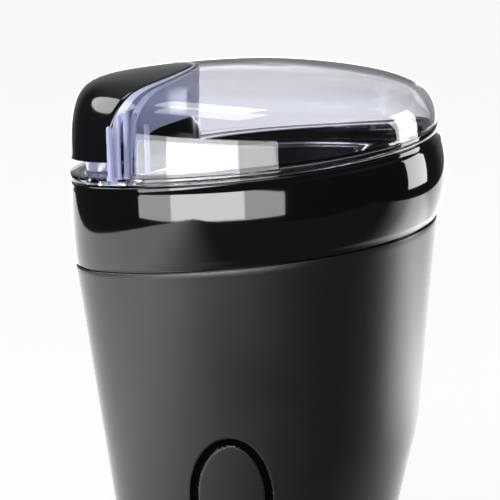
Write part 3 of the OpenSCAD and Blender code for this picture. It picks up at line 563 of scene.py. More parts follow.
@dataclass(frozen=True)
class BodyForm:
    """The sizes and rules that housing, collar, lid and button share."""

    plan_reach: float = 58.5
    plan_side: float = 43.3
    egg: float = 0.25
    seam_rise: float = tan(radians(6.2))
    low_seam_z: float = 108.0
    low_seam_inset: float = 0.6
    collar_h: float = 28.0
    tail_taper: float = radians(6.8)
    nose_taper: float = radians(5.9)
    side_taper: float = radians(6.2)
    heel_z: float = 52.0
    heel_taper: float = radians(9)
    heel_blend: float = 12.0
    lid_tail_h: float = 37.7
    lid_nose_h: float = 19.7
    lid_crown: float = 7.3
    shoulder_power: float = 2.8
    plan_power: float = 17.0

    SETTLING = 24  # rounds in which a point's share of the plan settles

    @property
    def low_reach(self) -> float:
        """Half length of the plan at the lower seam."""
        return self.plan_reach - self.low_seam_inset

    @property
    def low_side(self) -> float:
        """Half width of the plan at the lower seam."""
        return self.plan_side - self.low_seam_inset

    @property
    def lid_seam_z(self) -> float:
        """Height of the lid seam at the middle of the plan."""
        return self.low_seam_z + self.collar_h

    def seam_at(self, z: float, x: float) -> float:
        """Height at x of a plane that runs with the seams through z at the middle."""
        return z + self.seam_rise * x

    def lid_z(self, lift: float, x: float) -> float:
        """Height at x of a plane that lies over the lid seam by lift."""
        return self.seam_at(self.lid_seam_z + lift, x)

    def tail_reach(self, z: float) -> float:
        """Reach of the housing towards the tail at a height."""
        drop = self.seam_at(self.low_seam_z, -self.low_reach) - z
        return self.low_reach - tan(self.tail_taper) * drop

    def nose_reach(self, z: float) -> float:
        """Reach of the housing towards the nose at a height, drawn in at the heel.

        Args:
            z: the height.

        Returns:
            The reach.
        """
        drop = self.seam_at(self.low_seam_z, self.low_reach) - z
        low = max(0.0, self.heel_z - z)
        if low < self.heel_blend:
            bent = low * low / (2 * self.heel_blend)
        else:
            bent = low - self.heel_blend / 2
        return self.low_reach - tan(self.nose_taper) * drop - tan(self.heel_taper) * bent

    def side_reach(self, z: float) -> float:
        """Half width of the housing at a height, before the egg shape widens it."""
        return self.low_side - tan(self.side_taper) * (self.low_seam_z - z)

    def housing_ring(self, z_tail: float, z_nose: float, inset: float) -> Ring:
        """Makes a ring of the housing.

        Args:
            z_tail: height at the tail.
            z_nose: height at the nose.
            inset: how far it is let in.

        Returns:
            The ring.
        """
        tail, nose = self.tail_reach(z_tail) - inset, self.nose_reach(z_nose) - inset
        side = self.side_reach((z_tail + z_nose) / 2) - inset
        return egg_ring(tail, nose, side, z_tail, z_nose)

    def housing_seam(self, inset: float, lift: float = 0.0) -> Ring:
        """Makes a ring along the lower seam.

        Args:
            inset: how far it is let in.
            lift: its height over the seam.

        Returns:
            The ring.
        """
        reach, z = self.low_reach - inset, self.low_seam_z
        low, high = (self.seam_at(z, x) + lift for x in (-self.low_reach, self.low_reach))
        return egg_ring(reach, reach, self.low_side - inset, low, high)

    def plan_level(self, z: float, inset: float) -> Ring:
        """A level ring of the plan."""
        reach = self.plan_reach - inset
        return egg_ring(reach, reach, self.plan_side - inset, z, z)

    def lid_height(self, x: float) -> float:
        """Height of the lid over its seam at a place along the plan."""
        return mix(self.lid_tail_h, self.lid_nose_h, (x / self.plan_reach + 1) / 2)

    def dome_z(self, share: float, x: float, inset: float) -> float:
        """Height of the lid's surface.

        Args:
            share: share of the plan at which the point lies, 1 at the wall.
            x: place along the plan.
            inset: depth under the outer surface.

        Returns:
            The height.
        """
        shoulder = max(0.0, 1 - share**self.plan_power) ** (1 / self.shoulder_power)
        return (
            self.lid_z(0.0, x)
            + self.lid_crown * (1 - share * share)
            + (self.lid_height(x) - self.lid_crown - inset) * shoulder
        )

    def shoulder_share(self, rise: float) -> float:
        """Share of the plan at which the shoulder has reached sin(rise) of its height."""
        return (1 - sin(rise) ** self.shoulder_power) ** (1 / self.plan_power)

    def plan_share(self, x: float, y: float, inset: float) -> float:
        """Share of the plan at which a point lies.

        Args:
            x: place along the plan.
            y: place across it.
            inset: how far the plan is let in.

        Returns:
            The share, 0 in the middle and 1 at the plan's edge.
        """
        along = x / (self.plan_reach - inset)
        across = y / (self.plan_side - inset)
        share = max(hypot(along, across), TINY)
        for _ in range(self.SETTLING):
            share = hypot(along, across / (1 + self.egg * along / share))
        return share


FORM = BodyForm()


# ---- housing ------------------------------------------------------------------------------


@dataclass
class Housing:
    """The tapered shell, with the groove round its plain oval field on the front."""

    foot_h: float = 3.0
    foot_round: float = 4.0
    wall: float = 2.5
    lip_h: float = 3.0
    lip_wall: float = 1.5
    lip_inset: float = 2.2
    lip_depth: float = 2.0  # how far the lip's inside reaches under the seam
    lip_run: tuple[float, float] = (0.3, 4.0)  # and its run into the wall
    rim: float = 0.45  # radius of the shell's upper edge
    base_t: float = 3.0
    base_gap: float = 1.4
    shelf_h: float = 1.5
    shelf_w: float = 1.6
    field_x: float = -12.5
    field_z: float = 31.0
    field_half_w: float = 13.0
    field_half_h: float = 20.0
    field_groove: float = 2.8
    field_depth: float = 0.8
    field_margin: float = 2.0
    groove_run: float = 0.62  # share of the groove's half width that its side takes up
    groove_reach: float = 1.12  # where the side starts
    groove_front: float = -20.0  # the front's faces lie before this
    groove_shade: float = 0.3  # share of the depth from which the groove's painted shade starts

    FOOT_TURNS = range(0, 90, 10)
    RIM_TURNS = range(0, 91, 30)
    FINE_ROW = 0.45  # height of a row of faces where the groove runs
    PLAIN_ROWS = 24
    INNER_ROWS = (0.7, 0.5, 0.3, 0.1)
    FRONT = (-128, 0.36, 200)  # first angle, step and number of the fine columns
    REST = (-56, 2, 144)  # the same of the others

    def _groove(self, x: float, z: float) -> float:
        """Works out the groove's depth at a place on the front.

        Args:
            x: place along the housing.
            z: height.

        Returns:
            The depth.
        """
        half_w = self.field_half_w - self.field_groove / 2
        half_h = self.field_half_h - self.field_groove / 2
        u, v = (x - self.field_x) / half_w, (z - self.field_z) / half_h
        radius = max(hypot(u, v), TINY)
        slope = hypot(u / half_w, v / half_h) / radius
        away = abs(radius - 1) / slope / (self.field_groove / 2)
        edge = min(1.0, max(0.0, (self.groove_reach - away) / self.groove_run))
        return self.field_depth * edge * edge * (3 - 2 * edge)

    def _outer(self, z_tail: float, z_nose: float) -> Ring:
        """Makes a ring of the outer wall, let in where the groove runs.

        Args:
            z_tail: height at the tail.
            z_nose: height at the nose.

        Returns:
            The ring.
        """
        plain = FORM.housing_ring(z_tail, z_nose, 0.0)

        def at(angle: float) -> Point:
            x, y, z = plain(angle)
            return x, y + (self._groove(x, z) if y < 0 else 0.0), z

        return at

    def _rings(self) -> list[Ring]:
        """Lays out the shell's rings, up the outside and down the inside.

        Returns:
            The rings.
        """
        low = self.foot_h + self.foot_round
        seat = self.foot_h + self.base_t
        plate = self.foot_round + self.base_gap
        tail_z = FORM.seam_at(FORM.low_seam_z, -FORM.low_reach)
        nose_z = FORM.seam_at(FORM.low_seam_z, FORM.low_reach)
        field_top = self.field_z + self.field_half_h + self.field_margin
        rings = [
            FORM.housing_ring(self.foot_h + lift, self.foot_h + lift, inset)
            for lift, inset in rounding(self.foot_round, self.FOOT_TURNS)
        ]
        level = [float(z) for z in np.arange(low, field_top, self.FINE_ROW)]
        rings += [self._outer(z, z) for z in level]
        top = level[-1]
        rings += [
            FORM.housing_ring(mix(top, tail_z, s), mix(top, nose_z, s), 0.0)
            for s in (k / self.PLAIN_ROWS for k in range(1, self.PLAIN_ROWS))
        ]
        rings += [
            FORM.housing_seam(inset, -drop)
            for inset, drop in rounding(self.rim, self.RIM_TURNS)
        ]
        inside = self.lip_inset + self.lip_wall
        rings += [
            FORM.housing_seam(inset, lift)
            for inset, lift in (
                (self.lip_inset, 0.0),
                (self.lip_inset, self.lip_h),
                (inside, self.lip_h),
                (inside, -self.lip_depth),
                (self.wall + self.lip_run[0], -self.lip_run[1]),
            )
        ]
        rings += [
            FORM.housing_ring(mix(low, tail_z, s), mix(low, nose_z, s), self.wall)
            for s in self.INNER_ROWS
        ]
        return rings + [
            FORM.housing_ring(z, z, inset)
            for z, inset in (
                (seat + self.shelf_h, plate + self.shelf_w),
                (seat, plate + self.shelf_w),
                (seat, plate),
                (self.foot_h, plate),
            )
        ]

    def build(self) -> None:
        """Builds and dresses the shell, with painted shade in the groove."""
        angles = [
            radians(start + step * k)
            for start, step, count in (self.FRONT, self.REST)
            for k in range(count)
        ]
        shell = as_object("housing_shell", lofted(self._rings(), angles))
        dress(shell, HOUSING_ABS, "body", ["housing"])
        shell.data.materials.append(GROOVE_PAINTED_SHADE.material())
        # Faces deep in the groove get the painted shade.
        back = INTO_FRAME.inverted()
        deep = self.groove_shade * self.field_depth
        for face in shell.data.polygons:
            x, y, z = back @ face.center
            if y < self.groove_front and self._groove(x, z) > deep:
                face.material_index = 1


@dataclass
class Collar:
    """The gloss black band between the seams, bulged most at the nose."""

    bulge_nose: float = 3.2
    bulge_tail: float = 0.4
    bulge_side: float = 1.8
    rim_wall: float = 2.6
    shadow_gap: float = 0.6
    shadow_depth: float = 1.0
    ledge_z: float = 123.0
    ledge_t: float = 4.0
    ledge_w: float = 3.0
    lip_inset: float = 2.2
    lip_h: float = 3.0
    lip_room: tuple[float, float] = (1.0, 2.0)  # over the lip: where the wall thickens
    slip: float = 0.4
    edge: float = 0.5  # radius of the band's two outer edges

    EDGE_TURNS = range(0, 91, 18)
    BAND_ROWS = 44
    SWELL_ROWS = 3  # rows in which the bulge comes up from each edge
    AROUND = 288

    def ring(self, share: float, inset: float, swell: float = 0.0, lift: float = 0.0) -> Ring:
        """Makes a ring of the band.

        Args:
            share: 0 at the lower seam and 1 at the lid seam.
            inset: how far it is let in.
            swell: 1 on the bulged outer face and 0 elsewhere.
            lift: height above the share's own plane.

        Returns:
            The ring.
        """
        reach = mix(FORM.low_reach, FORM.plan_reach, share) - inset
        bulge = swell * 4 * share * (1 - share)
        z = FORM.low_seam_z + FORM.collar_h * share + lift
        return egg_ring(
            reach + self.bulge_tail * bulge,
            reach + self.bulge_nose * bulge,
            mix(FORM.low_side, FORM.plan_side, share) - inset + self.bulge_side * bulge,
            FORM.seam_at(z, -reach),
            FORM.seam_at(z, reach),
        )

    def build(self) -> None:
        """Builds and dresses the band with its shadow gaps and the ledge under the deck."""
        gap, deep = self.shadow_gap, self.shadow_depth
        turns = rounding(self.edge, self.EDGE_TURNS)
        first = (gap + self.edge) / FORM.collar_h
        lip = self.lip_inset - self.slip
        ledge = self.rim_wall + FORM.low_seam_inset
        last = self.BAND_ROWS
        rings = [self.ring(0, lip), self.ring(0, deep), self.ring(0, deep, 0, gap)]
        rings += [self.ring(0, inset, 0, gap + lift) for lift, inset in turns]
        rings += [
            self.ring(
                mix(first, 1 - first, k / last), 0,
                min(1.0, k / self.SWELL_ROWS, (last - k) / self.SWELL_ROWS),
            )
            for k in range(1, last)
        ]
        rings += [self.ring(1, inset, 0, -drop - gap) for inset, drop in turns]
        rings += [
            self.ring(1, deep, 0, -gap),
            self.ring(1, deep),
            self.ring(1, self.rim_wall),
            FORM.plan_level(self.ledge_z, ledge),
            FORM.plan_level(self.ledge_z, ledge + self.ledge_w),
            FORM.plan_level(self.ledge_z - self.ledge_t, ledge + self.ledge_w),
            self.ring(0, self.rim_wall, 0, self.lip_h + self.lip_room[1]),
            self.ring(0, lip, 0, self.lip_h + self.lip_room[0]),
        ]
        angles = [2 * pi * k / self.AROUND for k in range(self.AROUND)]
        band = as_object("collar_band", lofted(rings, angles))
        dress(band, BLACK_ABS, "body", ["collar"])


# ---- lid and button -----------------------------------------------------------------------


@dataclass(frozen=True)
class ButtonPlan:
    """The button's plan: straight sides from the tail and a rounded front."""

    half_w: float = 20.3
    tip_x: float = -18.8
    nose: float = 23.2
    tip_power: float = 1.55
    straight: float = 18.0

    STEPS = 180  # points of the rounded front

    def corners(self, grow: float) -> list[tuple[float, float]]:
        """Lays out the +Y half, from the tip towards the tail.

        Args:
            grow: how far it is let out.

        Returns:
            The points.
        """
        start, side, bend = self.tip_x - self.nose, self.half_w + grow, 2 / self.tip_power
        curve = []
        for k in range(self.STEPS):
            a = radians(90 * k / self.STEPS)
            curve.append((start + (self.nose + grow) * cos(a) ** bend, side * sin(a) ** bend))
        return [*curve, (start, side), (start - self.straight, side)]


class Outline:
    """The edge of the button's plan, measured by the way walked from the tip."""

    HALVINGS = 40  # steps in which a place on the outline is found

    def __init__(self, grow: float, inset: float) -> None:
        """Measures the outline.

        Args:
            grow: how far it is let out.
            inset: how far the body's plan is let in, which is where the outline ends.
        """
        points = np.array(ButtonPlan().corners(grow))
        steps = np.hypot(*np.diff(points, axis=0).T)
        self._walked = np.concatenate([[0.0], np.cumsum(steps)])
        self._points = points
        self._inset = inset
        self.end = float(self._walked[-1])
        self.end = self.walk_to(1.0)

    def at(self, walked: float) -> tuple[float, float]:
        """Place in plan after a way walked."""
        return (
            float(np.interp(walked, self._walked, self._points[:, 0])),
            float(np.interp(walked, self._walked, self._points[:, 1])),
        )

    def share(self, walked: float) -> float:
        """Share of the body's plan after a way walked."""
        return FORM.plan_share(*self.at(walked), self._inset)

    def walk_to(self, share: float) -> float:
        """Finds a place on the outline.

        Args:
            share: the share of the body's plan at which it lies.

        Returns:
            The way walked until there.
        """
        low, high = 0.0, self.end
        for _ in range(self.HALVINGS):
            middle = (low + high) / 2
            low, high = (middle, high) if self.share(middle) < share else (low, middle)
        return high


@dataclass(frozen=True)
class Cut:
    """Where the dome meets the button's well, for one surface of the lid or the button.

    inset is the surface's depth under the dome, grow how far the well is let out, floor the
    height over the seam of the well wall's lower edge, foot that of the dome's lower edge,
    and radius the rounding between dome and well wall. On the lid (over is False) the dome
    lies outside the well, on the button inside.
    """

    inset: float
    grow: float
    floor: float
    foot: float
    radius: float
    over: bool
    floor_inset: float = 0.0

    SHOULDER = [radians(d) for d in (*range(15, 36, 3), *range(36, 80, 4), 80, 83)]
    CROWN_ROWS = 26
    WALL_STEPS = 5
    ROUND_STEPS = 3

    @property
    def rows(self) -> int:
        """Number of rows from the foot to the well's tip."""
        return len(self.SHOULDER) + self.CROWN_ROWS

    def outlines(self) -> tuple[Outline, Outline]:
        """The well's edge, and the edge of the dome where the rounding starts."""
        away = -self.radius if self.over else self.radius
        return Outline(self.grow, self.inset), Outline(self.grow + away, self.inset)

    def shares(self, edge: Outline) -> list[float]:
        """Lays out the rows, from the foot to the tip.

        Args:
            edge: the dome's edge.

        Returns:
            The way walked on that edge at each row.
        """
        shoulder = [edge.walk_to(FORM.shoulder_share(a)) for a in self.SHOULDER]
        last = shoulder[-1]
        crown = [last * (1 - k / self.CROWN_ROWS) for k in range(1, self.CROWN_ROWS + 1)]
        return [edge.end, *shoulder, *crown]

    def _dome(self, x: float, y: float) -> Vector:
        """Returns the point of the dome over a place in plan."""
        share = min(1.0, FORM.plan_share(x, y, self.inset))
        return Vector((x, y, FORM.dome_z(share, x, self.inset)))

    def side(self, wall: Outline, edge: Outline, walked: float, row: int) -> list[Vector]:
        """Lays out one row from the dome's edge over the rounding and down the wall.

        Args:
            wall: the well's edge.
            edge: the dome's edge.
            walked: way walked on the dome's edge.
            row: the row, 0 at the foot.

        Returns:
            The points on the +Y side.
        """
        along = wall.end * walked / edge.end
        base = wall.end * (1 - row / self.rows)
        at_foot = row == 0

        def wall_point(share: float) -> Vector:
            x, y = wall.at(mix(along, base, share))
            low = FORM.lid_z(self.floor, x)
            top = FORM.lid_z(self.foot, x) if at_foot else max(
                low, self._dome(*wall.at(along)).z
            )
            return Vector((x, y, mix(top, low, share)))

        first = self._dome(*edge.at(walked))
        if at_foot:
            first.z = FORM.lid_z(self.foot, first.x)
        corner = wall_point(0.0)
        length = max((wall_point(1.0) - corner).length, TINY)
        start = min(0.5, self.radius / length)
        after = wall_point(start)
        points = []
        for k in range(self.ROUND_STEPS + 1):
            s = k / self.ROUND_STEPS
            points.append(first * (1 - s) ** 2 + corner * (2 * s * (1 - s)) + after * s * s)
        return points + [
            wall_point(mix(start, 1.0, k / self.WALL_STEPS))
            for k in range(1, self.WALL_STEPS + 1)
        ]

    def arc(self, edge: Outline, walked: float, row: int, count: int) -> list[Vector]:
        """Lays out one row of the dome between the well's two edges.

        Args:
            edge: the dome's edge.
            walked: way walked on it.
            row: the row, 0 at the foot.
            count: number of faces.

        Returns:
            The points from the +Y edge round to the -Y edge.
        """
        x, y = edge.at(walked)
        share = min(1.0, FORM.plan_share(x, y, self.inset))
        reach = (FORM.plan_reach - self.inset) * share
        wide = (FORM.plan_side - self.inset) * share
        angle = acos(max(-1.0, min(1.0, x / reach))) if walked > TINY else pi
        end = 2 * pi - angle if self.over else -angle
        points = []
        for k in range(count + 1):
            t = mix(angle, end, k / count)
            px, py = reach * cos(t), wide * sin(t) * (1 + FORM.egg * cos(t))
            z = FORM.dome_z(share, px, self.inset) if row else FORM.lid_z(self.foot, px)
            points.append(Vector((px, py, z)))
        return points


@dataclass
class Button:
    """The hollow button over the lid's tail end, with its boss and plunger."""

    gap: float = 7.3
    wall: float = 2.0
    boss_r: float = 5.9
    boss_z: float = 148.8
    plunger_x: float = -46.0
    plunger_r: float = 2.2
    plunger_z: float = 129.7
    plunger_edge: float = 0.4
    boss_edge: float = 0.3
    edge: float = 0.7
    inner_edge: float = 0.05

    ARC_STEPS = 72
    ABOVE = 200.0  # a height over the whole cap, up to which the boss is first drawn

    def _sheet(self, cut: Cut, mesh: bmesh.types.BMesh) -> None:
        """Adds one surface of the cap: over the dome and down both walls.

        Args:
            cut: the surface.
            mesh: the mesh that gets it.
        """
        wall, edge = cut.outlines()
        rows = []
        for row, walked in enumerate(cut.shares(edge)):
            side = cut.side(wall, edge, walked, row)
            arc = cut.arc(edge, walked, row, self.ARC_STEPS)
            far = [Vector((p.x, -p.y, p.z)) for p in side]
            rows.append([*reversed(side[1:]), *arc, *far[1:]])
        mapped_grid(len(rows[0]) - 1, len(rows) - 1, lambda c, r: rows[r][c], mesh)

    def build(self) -> None:
        """Builds and dresses the cap with its boss and its plunger."""
        mesh = bmesh.new()
        for inset, radius in ((0.0, self.edge), (self.wall, self.inner_edge)):
            self._sheet(Cut(inset, -inset, self.gap, self.gap, radius, over=True), mesh)
        bmesh.ops.remove_doubles(mesh, verts=mesh.verts, dist=WELD)
        bmesh.ops.bridge_loops(mesh, edges=[e for e in mesh.edges if e.is_boundary])
        stem = turned(
            [(0, self.plunger_z), (self.plunger_r - self.plunger_edge, self.plunger_z),
             (self.plunger_r, self.plunger_z + self.plunger_edge),
             (self.plunger_r, self.boss_z), (self.boss_r - self.boss_edge, self.boss_z),
             (self.boss_r, self.boss_z + self.boss_edge),
             (self.boss_r, self.ABOVE), (0, self.ABOVE)],
            steps=48, x=self.plunger_x,
        )
        # The boss ends in the middle of the cap's top wall.
        for corner in stem.verts:
            if corner.co.z > self.ABOVE - 1:
                share = FORM.plan_share(corner.co.x, corner.co.y, 0.0)
                corner.co.z = FORM.dome_z(share, corner.co.x, 0.0) - self.wall / 2
        cap = as_object("button_cap", mesh)
        combine(cap, as_object("button_stem", stem), Joining.UNION)
        dress(cap, BUTTON_ABS, "button", ["push_button"])


@dataclass
class Lid:
    """The clear lid with the button's well, its flange, skirt and guide tower."""

    wall: float = 2.2
    flange_t: float = 2.2
    flange_out: float = 0.3
    rest_gap: float = 0.1
    skirt_inset: float = 3.0
    skirt_wall: float = 1.8
    skirt_h: float = 2.4
    slip: float = 0.4
    well_wall: float = 2.0
    tower_x: float = -46.0
    tower_r: float = 7.5
    tower_wall: float = 1.6
    tower_h: float = 11.0
    tower_edge: float = 0.3
    tower_root: float = 2.0  # how far it reaches into the floor
    hole_r: float = 2.45
    drill_reach: tuple[float, float] = (9.0, 1.0)  # under and over the tower's seat
    edge: float = 0.6
    inner_edge: float = 0.05
    inner_gap: float = 0.6  # from the skirt to the well's floor on the inside
    foot_step: float = 1.0  # the inside's foot lies this far over and under the flange's top
    flange_edge: tuple[float, float, float] = (0.05, 0.1, 0.3)  # the flange's rounding
    rib_foot: tuple[float, float] = (0.5, 2.0)  # a rib's wider foot: width and height
    rib_head: tuple[float, float] = (0.3, 0.5)  # and its narrower head

    DOME_STEPS = 176
    FLOOR_STEPS = 40
    EDGE_STEPS = 2  # columns of the dome beside the well that get the painted glow
    WALL_COLUMNS = 5  # corners down the well's wall that get it too
    CAP_ROWS = 9
    RIBS = ((-46.5, 0.9, 17.0), (-43.6, 0.6, 20.0), (-41.0, 1.1, 21.0), (-38.0, 0.7, 20.0),
            (-34.5, 0.9, 16.0))  # place, radius and height of each rib

    def _loops(self, cut: Cut) -> list[list[Vector]]:
        """Lays out one surface as closed loops, from the foot to the well's tip.

        Args:
            cut: the surface.

        Returns:
            The loops: over the dome, down the well's wall, across its floor and up again.
        """
        wall, edge = cut.outlines()
        loops = []
        tail = self._belt(cut, edge, cut.floor_inset or cut.inset, cut.floor)
        tail_x = min(p.x for p in tail)
        stretch = 0.0
        for row, walked in enumerate(cut.shares(edge)):
            side = cut.side(wall, edge, walked, row)
            arc = cut.arc(edge, walked, row, self.DOME_STEPS)
            base = side[-1]
            blend = (1 - row / cut.rows) ** 2
            first = self.DOME_STEPS + len(side) - 1
            start = tail[first]
            stretch = stretch or (tail_x - base.x) / (tail_x - start.x)
            floor = []
            for end in tail[first + 1 : first + self.FLOOR_STEPS]:
                x = base.x + (end.x - start.x) * stretch * blend
                floor.append(Vector((x, base.y * end.y / start.y, FORM.lid_z(cut.floor, x))))
            far = [Vector((p.x, -p.y, p.z)) for p in side]
            loops.append([*reversed(arc), *side[1:], *floor, *reversed(far[1:])])
        return loops

    def _belt(self, cut: Cut, edge: Outline, inset: float, lift: float) -> list[Vector]:
        """Lays out a ring round the whole plan, with its corners in step with the loops.

        Args:
            cut: the surface whose loops it joins.
            edge: the dome's edge on that surface.
            inset: how far the ring is let in.
            lift: its height over the seam.

        Returns:
            The ring's points.
        """
        x, _ = edge.at(edge.end)
        angle = acos(x / (FORM.plan_reach - cut.inset))
        reach = FORM.plan_reach - inset
        low, high = FORM.lid_z(lift, -reach), FORM.lid_z(lift, reach)
        ring = egg_ring(reach, reach, FORM.plan_side - inset, low, high)
        steps = cut.ROUND_STEPS + cut.WALL_STEPS
        turns = [mix(-angle, angle, k / self.DOME_STEPS) for k in range(self.DOME_STEPS + 1)]
        turns += [angle] * steps
        turns += [
            mix(angle, 2 * pi - angle, k / self.FLOOR_STEPS)
            for k in range(1, self.FLOOR_STEPS)
        ]
        turns += [2 * pi - angle] * steps
        return [Vector(ring(t)) for t in turns]

    def _shell(self) -> bmesh.types.BMesh:
        """Makes the lid as one closed skin.

        Returns:
            The skin, with the well's edge marked for the painted glow.
        """
        outer = Cut(0.0, self.slip, self.flange_t, self.flange_t, self.edge, over=False)
        skirt_in = self.skirt_inset + self.skirt_wall
        inner = Cut(
            self.wall, self.slip + self.well_wall, 0.0, self.flange_t + self.foot_step,
            self.inner_edge, over=False, floor_inset=skirt_in + self.inner_gap,
        )
        _, outer_edge = outer.outlines()
        _, inner_edge = inner.outlines()
        out, thick = self.flange_out, self.flange_t
        fine, small, large = self.flange_edge
        loops = list(reversed(self._loops(outer)))
        loops += [
            self._belt(outer, outer_edge, inset, lift)
            for inset, lift in (
                (small - out, thick - fine),
                (-out, thick - large),
                (-out, self.rest_gap + large),
                (small - out, self.rest_gap + fine),
                (large - out, self.rest_gap),
                (self.skirt_inset, self.rest_gap),
                (self.skirt_inset, -self.skirt_h),
                (skirt_in, -self.skirt_h),
            )
        ]
        # The skin steps down from the dome's foot to the well's floor on the inside.
        high = self._belt(inner, inner_edge, skirt_in, thick - self.foot_step)
        low = self._belt(inner, inner_edge, skirt_in, 0.0)
        first = self.DOME_STEPS + 1
        steps = inner.ROUND_STEPS + inner.WALL_STEPS
        last = first + steps + self.FLOOR_STEPS - 1
        step = [*high[:first], *low[first:last], *high[last:]]
        for k in range(steps):
            step[first + k] = high[first + k].lerp(low[first + k], (k + 1) / steps)
            step[last + k] = low[last + k].lerp(high[last + k], k / steps)
        loops.append(step)
        loops += self._loops(inner)
        mesh = bmesh.new()
        count = len(loops[0])
        mapped_grid(count, len(loops) - 1, lambda c, r: loops[r][c % count], mesh)
        columns = (
            *range(self.EDGE_STEPS + 1),
            *range(self.DOME_STEPS - self.EDGE_STEPS, self.DOME_STEPS + self.WALL_COLUMNS),
            *range(count - self.WALL_COLUMNS, count),
        )
        glow_points = {tuple(round(v, 2) for v in loop[c]) for loop in loops for c in columns}
        # Faces along the well's edge get the painted glow.
        for face in mesh.faces:
            face.material_index = int(all(
                tuple(round(v, 2) for v in corner.co) in glow_points for corner in face.verts
            ))
        for cut in (outer, inner):
            self._cap(cut, mesh)
        bmesh.ops.remove_doubles(mesh, verts=mesh.verts, dist=WELD)
        return mesh

    def _cap(self, cut: Cut, mesh: bmesh.types.BMesh) -> None:
        """Closes the dome inside the row that touches the well's tip.

        Args:
            cut: the surface.
            mesh: the mesh that gets the cap.
        """
        _, edge = cut.outlines()
        tip = edge.share(0.0)

        def place(column: int, row: int) -> Point:
            share = tip * (1 - row / self.CAP_ROWS)
            t = mix(pi, -pi, column / self.DOME_STEPS)
            x = (FORM.plan_reach - cut.inset) * share * cos(t)
            y = (FORM.plan_side - cut.inset) * share * sin(t) * (1 + FORM.egg * cos(t))
            return x, y, FORM.dome_z(share, x, cut.inset)

        mapped_grid(self.DOME_STEPS, self.CAP_ROWS, place, mesh)

    def _ribs(self) -> bpy.types.Object:
        """Makes the upright ribs that stiffen the well's front wall, inside the lid.

        Returns:
            The ribs as one piece.
        """
        mesh = bmesh.new()
        foot_w, foot_h = self.rib_foot
        head_w, head_h = self.rib_head
        for x, radius, high in self.RIBS:
            low = FORM.lid_z(self.flange_t, x)
            wall = ButtonPlan().half_w + self.slip + self.well_wall + radius
            rib = turned(
                [(0, low), (radius + foot_w, low), (radius, low + foot_h),
                 (radius, low + high - head_h), (radius - head_w, low + high),
                 (0, low + high)],
                steps=20, x=x, y=-wall,
            )
            part = bpy.data.meshes.new("rib")
            rib.to_mesh(part)
            rib.free()
            mesh.from_mesh(part)
            bpy.data.meshes.remove(part)
        return as_object("lid_ribs", mesh)

    def _tower(self) -> tuple[bpy.types.Object, bpy.types.Object]:
        """Makes the tower that guides the button, and the drill for its hole.

        Returns:
            The tower and the drill.
        """
        seat = FORM.lid_z(self.flange_t, self.tower_x + self.tower_r)
        top = FORM.lid_z(self.flange_t + self.tower_h, self.tower_x)
        bore, low = self.tower_r - self.tower_wall, seat - self.tower_root
        under, over = self.drill_reach
        tower = turned(
            [(self.hole_r, low), (self.tower_r, low), (self.tower_r, top - self.tower_edge),
             (self.tower_r - self.tower_edge, top), (bore + self.tower_edge, top),
             (bore, top - self.tower_edge), (bore, seat), (self.hole_r, seat)],
            steps=64, x=self.tower_x,
        )
        drill = turned(
            [(0, seat - under), (self.hole_r, seat - under), (self.hole_r, seat + over),
             (0, seat + over)],
            steps=64, x=self.tower_x,
        )
        return as_object("tower", tower), as_object("drill", drill)

    def build(self) -> None:
        """Builds and dresses the lid with its guide tower and its ribs."""
        lid = as_object("lid_shell", self._shell())
        tower, drill = self._tower()
        for piece in (lid, tower):
            for finish in (LID_SAN, LID_EDGE_GLOW):
                piece.data.materials.append(finish.material())
        # The tower gets the painted glow all over; the ribs get it too.
        for face in tower.data.polygons:
            face.material_index = 1
        combine(lid, tower, Joining.UNION)
        combine(lid, drill, Joining.DIFFERENCE)
        dress(self._ribs(), LID_EDGE_GLOW, "lid")
        dress(lid, LID_SAN, "lid", ["lid_cover"])


@dataclass
class Springs:
    """The button's spring in the lid's tower and the switch slide's spring under it."""

    wire: float = 0.8
    button_r: float = 4.05
    button_low: float = 134.12
    button_high: float = 148.7
    button_turns: float = 8
    slide_r: float = 3.0
    slide_low: float = 102.5
    slide_high: float = 110.3
    slide_turns: float = 4
    place_x: float = -46.0
    travel: float = 4.0

    def build(self) -> None:
        """Builds and dresses both springs."""
        for name, radius, low, high, turns, body, joint in (
            ("button_spring", self.button_r, self.button_low, self.button_high,
             self.button_turns, "lid", "button_press"),
            ("slide_spring", self.slide_r, self.slide_low, self.slide_high,
             self.slide_turns, "body", "slide_press"),
        ):
            mesh = coiled(radius, self.wire, turns, high - low, (self.place_x, 0.0, low))
            piece = as_object(name + "_wire", mesh)
            dress(piece, SPRING_STEEL, body, [name])
            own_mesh(piece)


# ---- studio -------------------------------------------------------------------------------


class LampShape(Enum):
    """The outline of a soft box."""

    SQUARE = "RECTANGLE"
    ROUND = "ELLIPSE"


@dataclass(frozen=True)
class SoftBox:
    """One area light, aimed at the grinder.

    azimuth is measured from the front, positive to the right, and elevation from the
    horizon, in degrees. distance, width and height are in metres.
    """

    name: str
    azimuth: float
    elevation: float
    distance: float
    width: float
    height: float
    power: float
    shape: LampShape = LampShape.SQUARE

    def build(self, target: Vector) -> None:
        """Places the light.

        Args:
            target: the point that it faces.
        """
        lamp = bpy.data.lights.new(self.name, "AREA")
        lamp.shape, lamp.size, lamp.size_y = self.shape.value, self.width, self.height
        lamp.energy = self.power
        holder = bpy.data.objects.new(self.name, lamp)
        a, e = radians(self.azimuth), radians(self.elevation)
        away = Vector((sin(a) * cos(e), -cos(a) * cos(e), sin(e)))
        holder.location = target + away * self.distance
        holder.rotation_euler = away.to_track_quat("Z", "Y").to_euler()
        bpy.context.scene.collection.objects.link(holder)


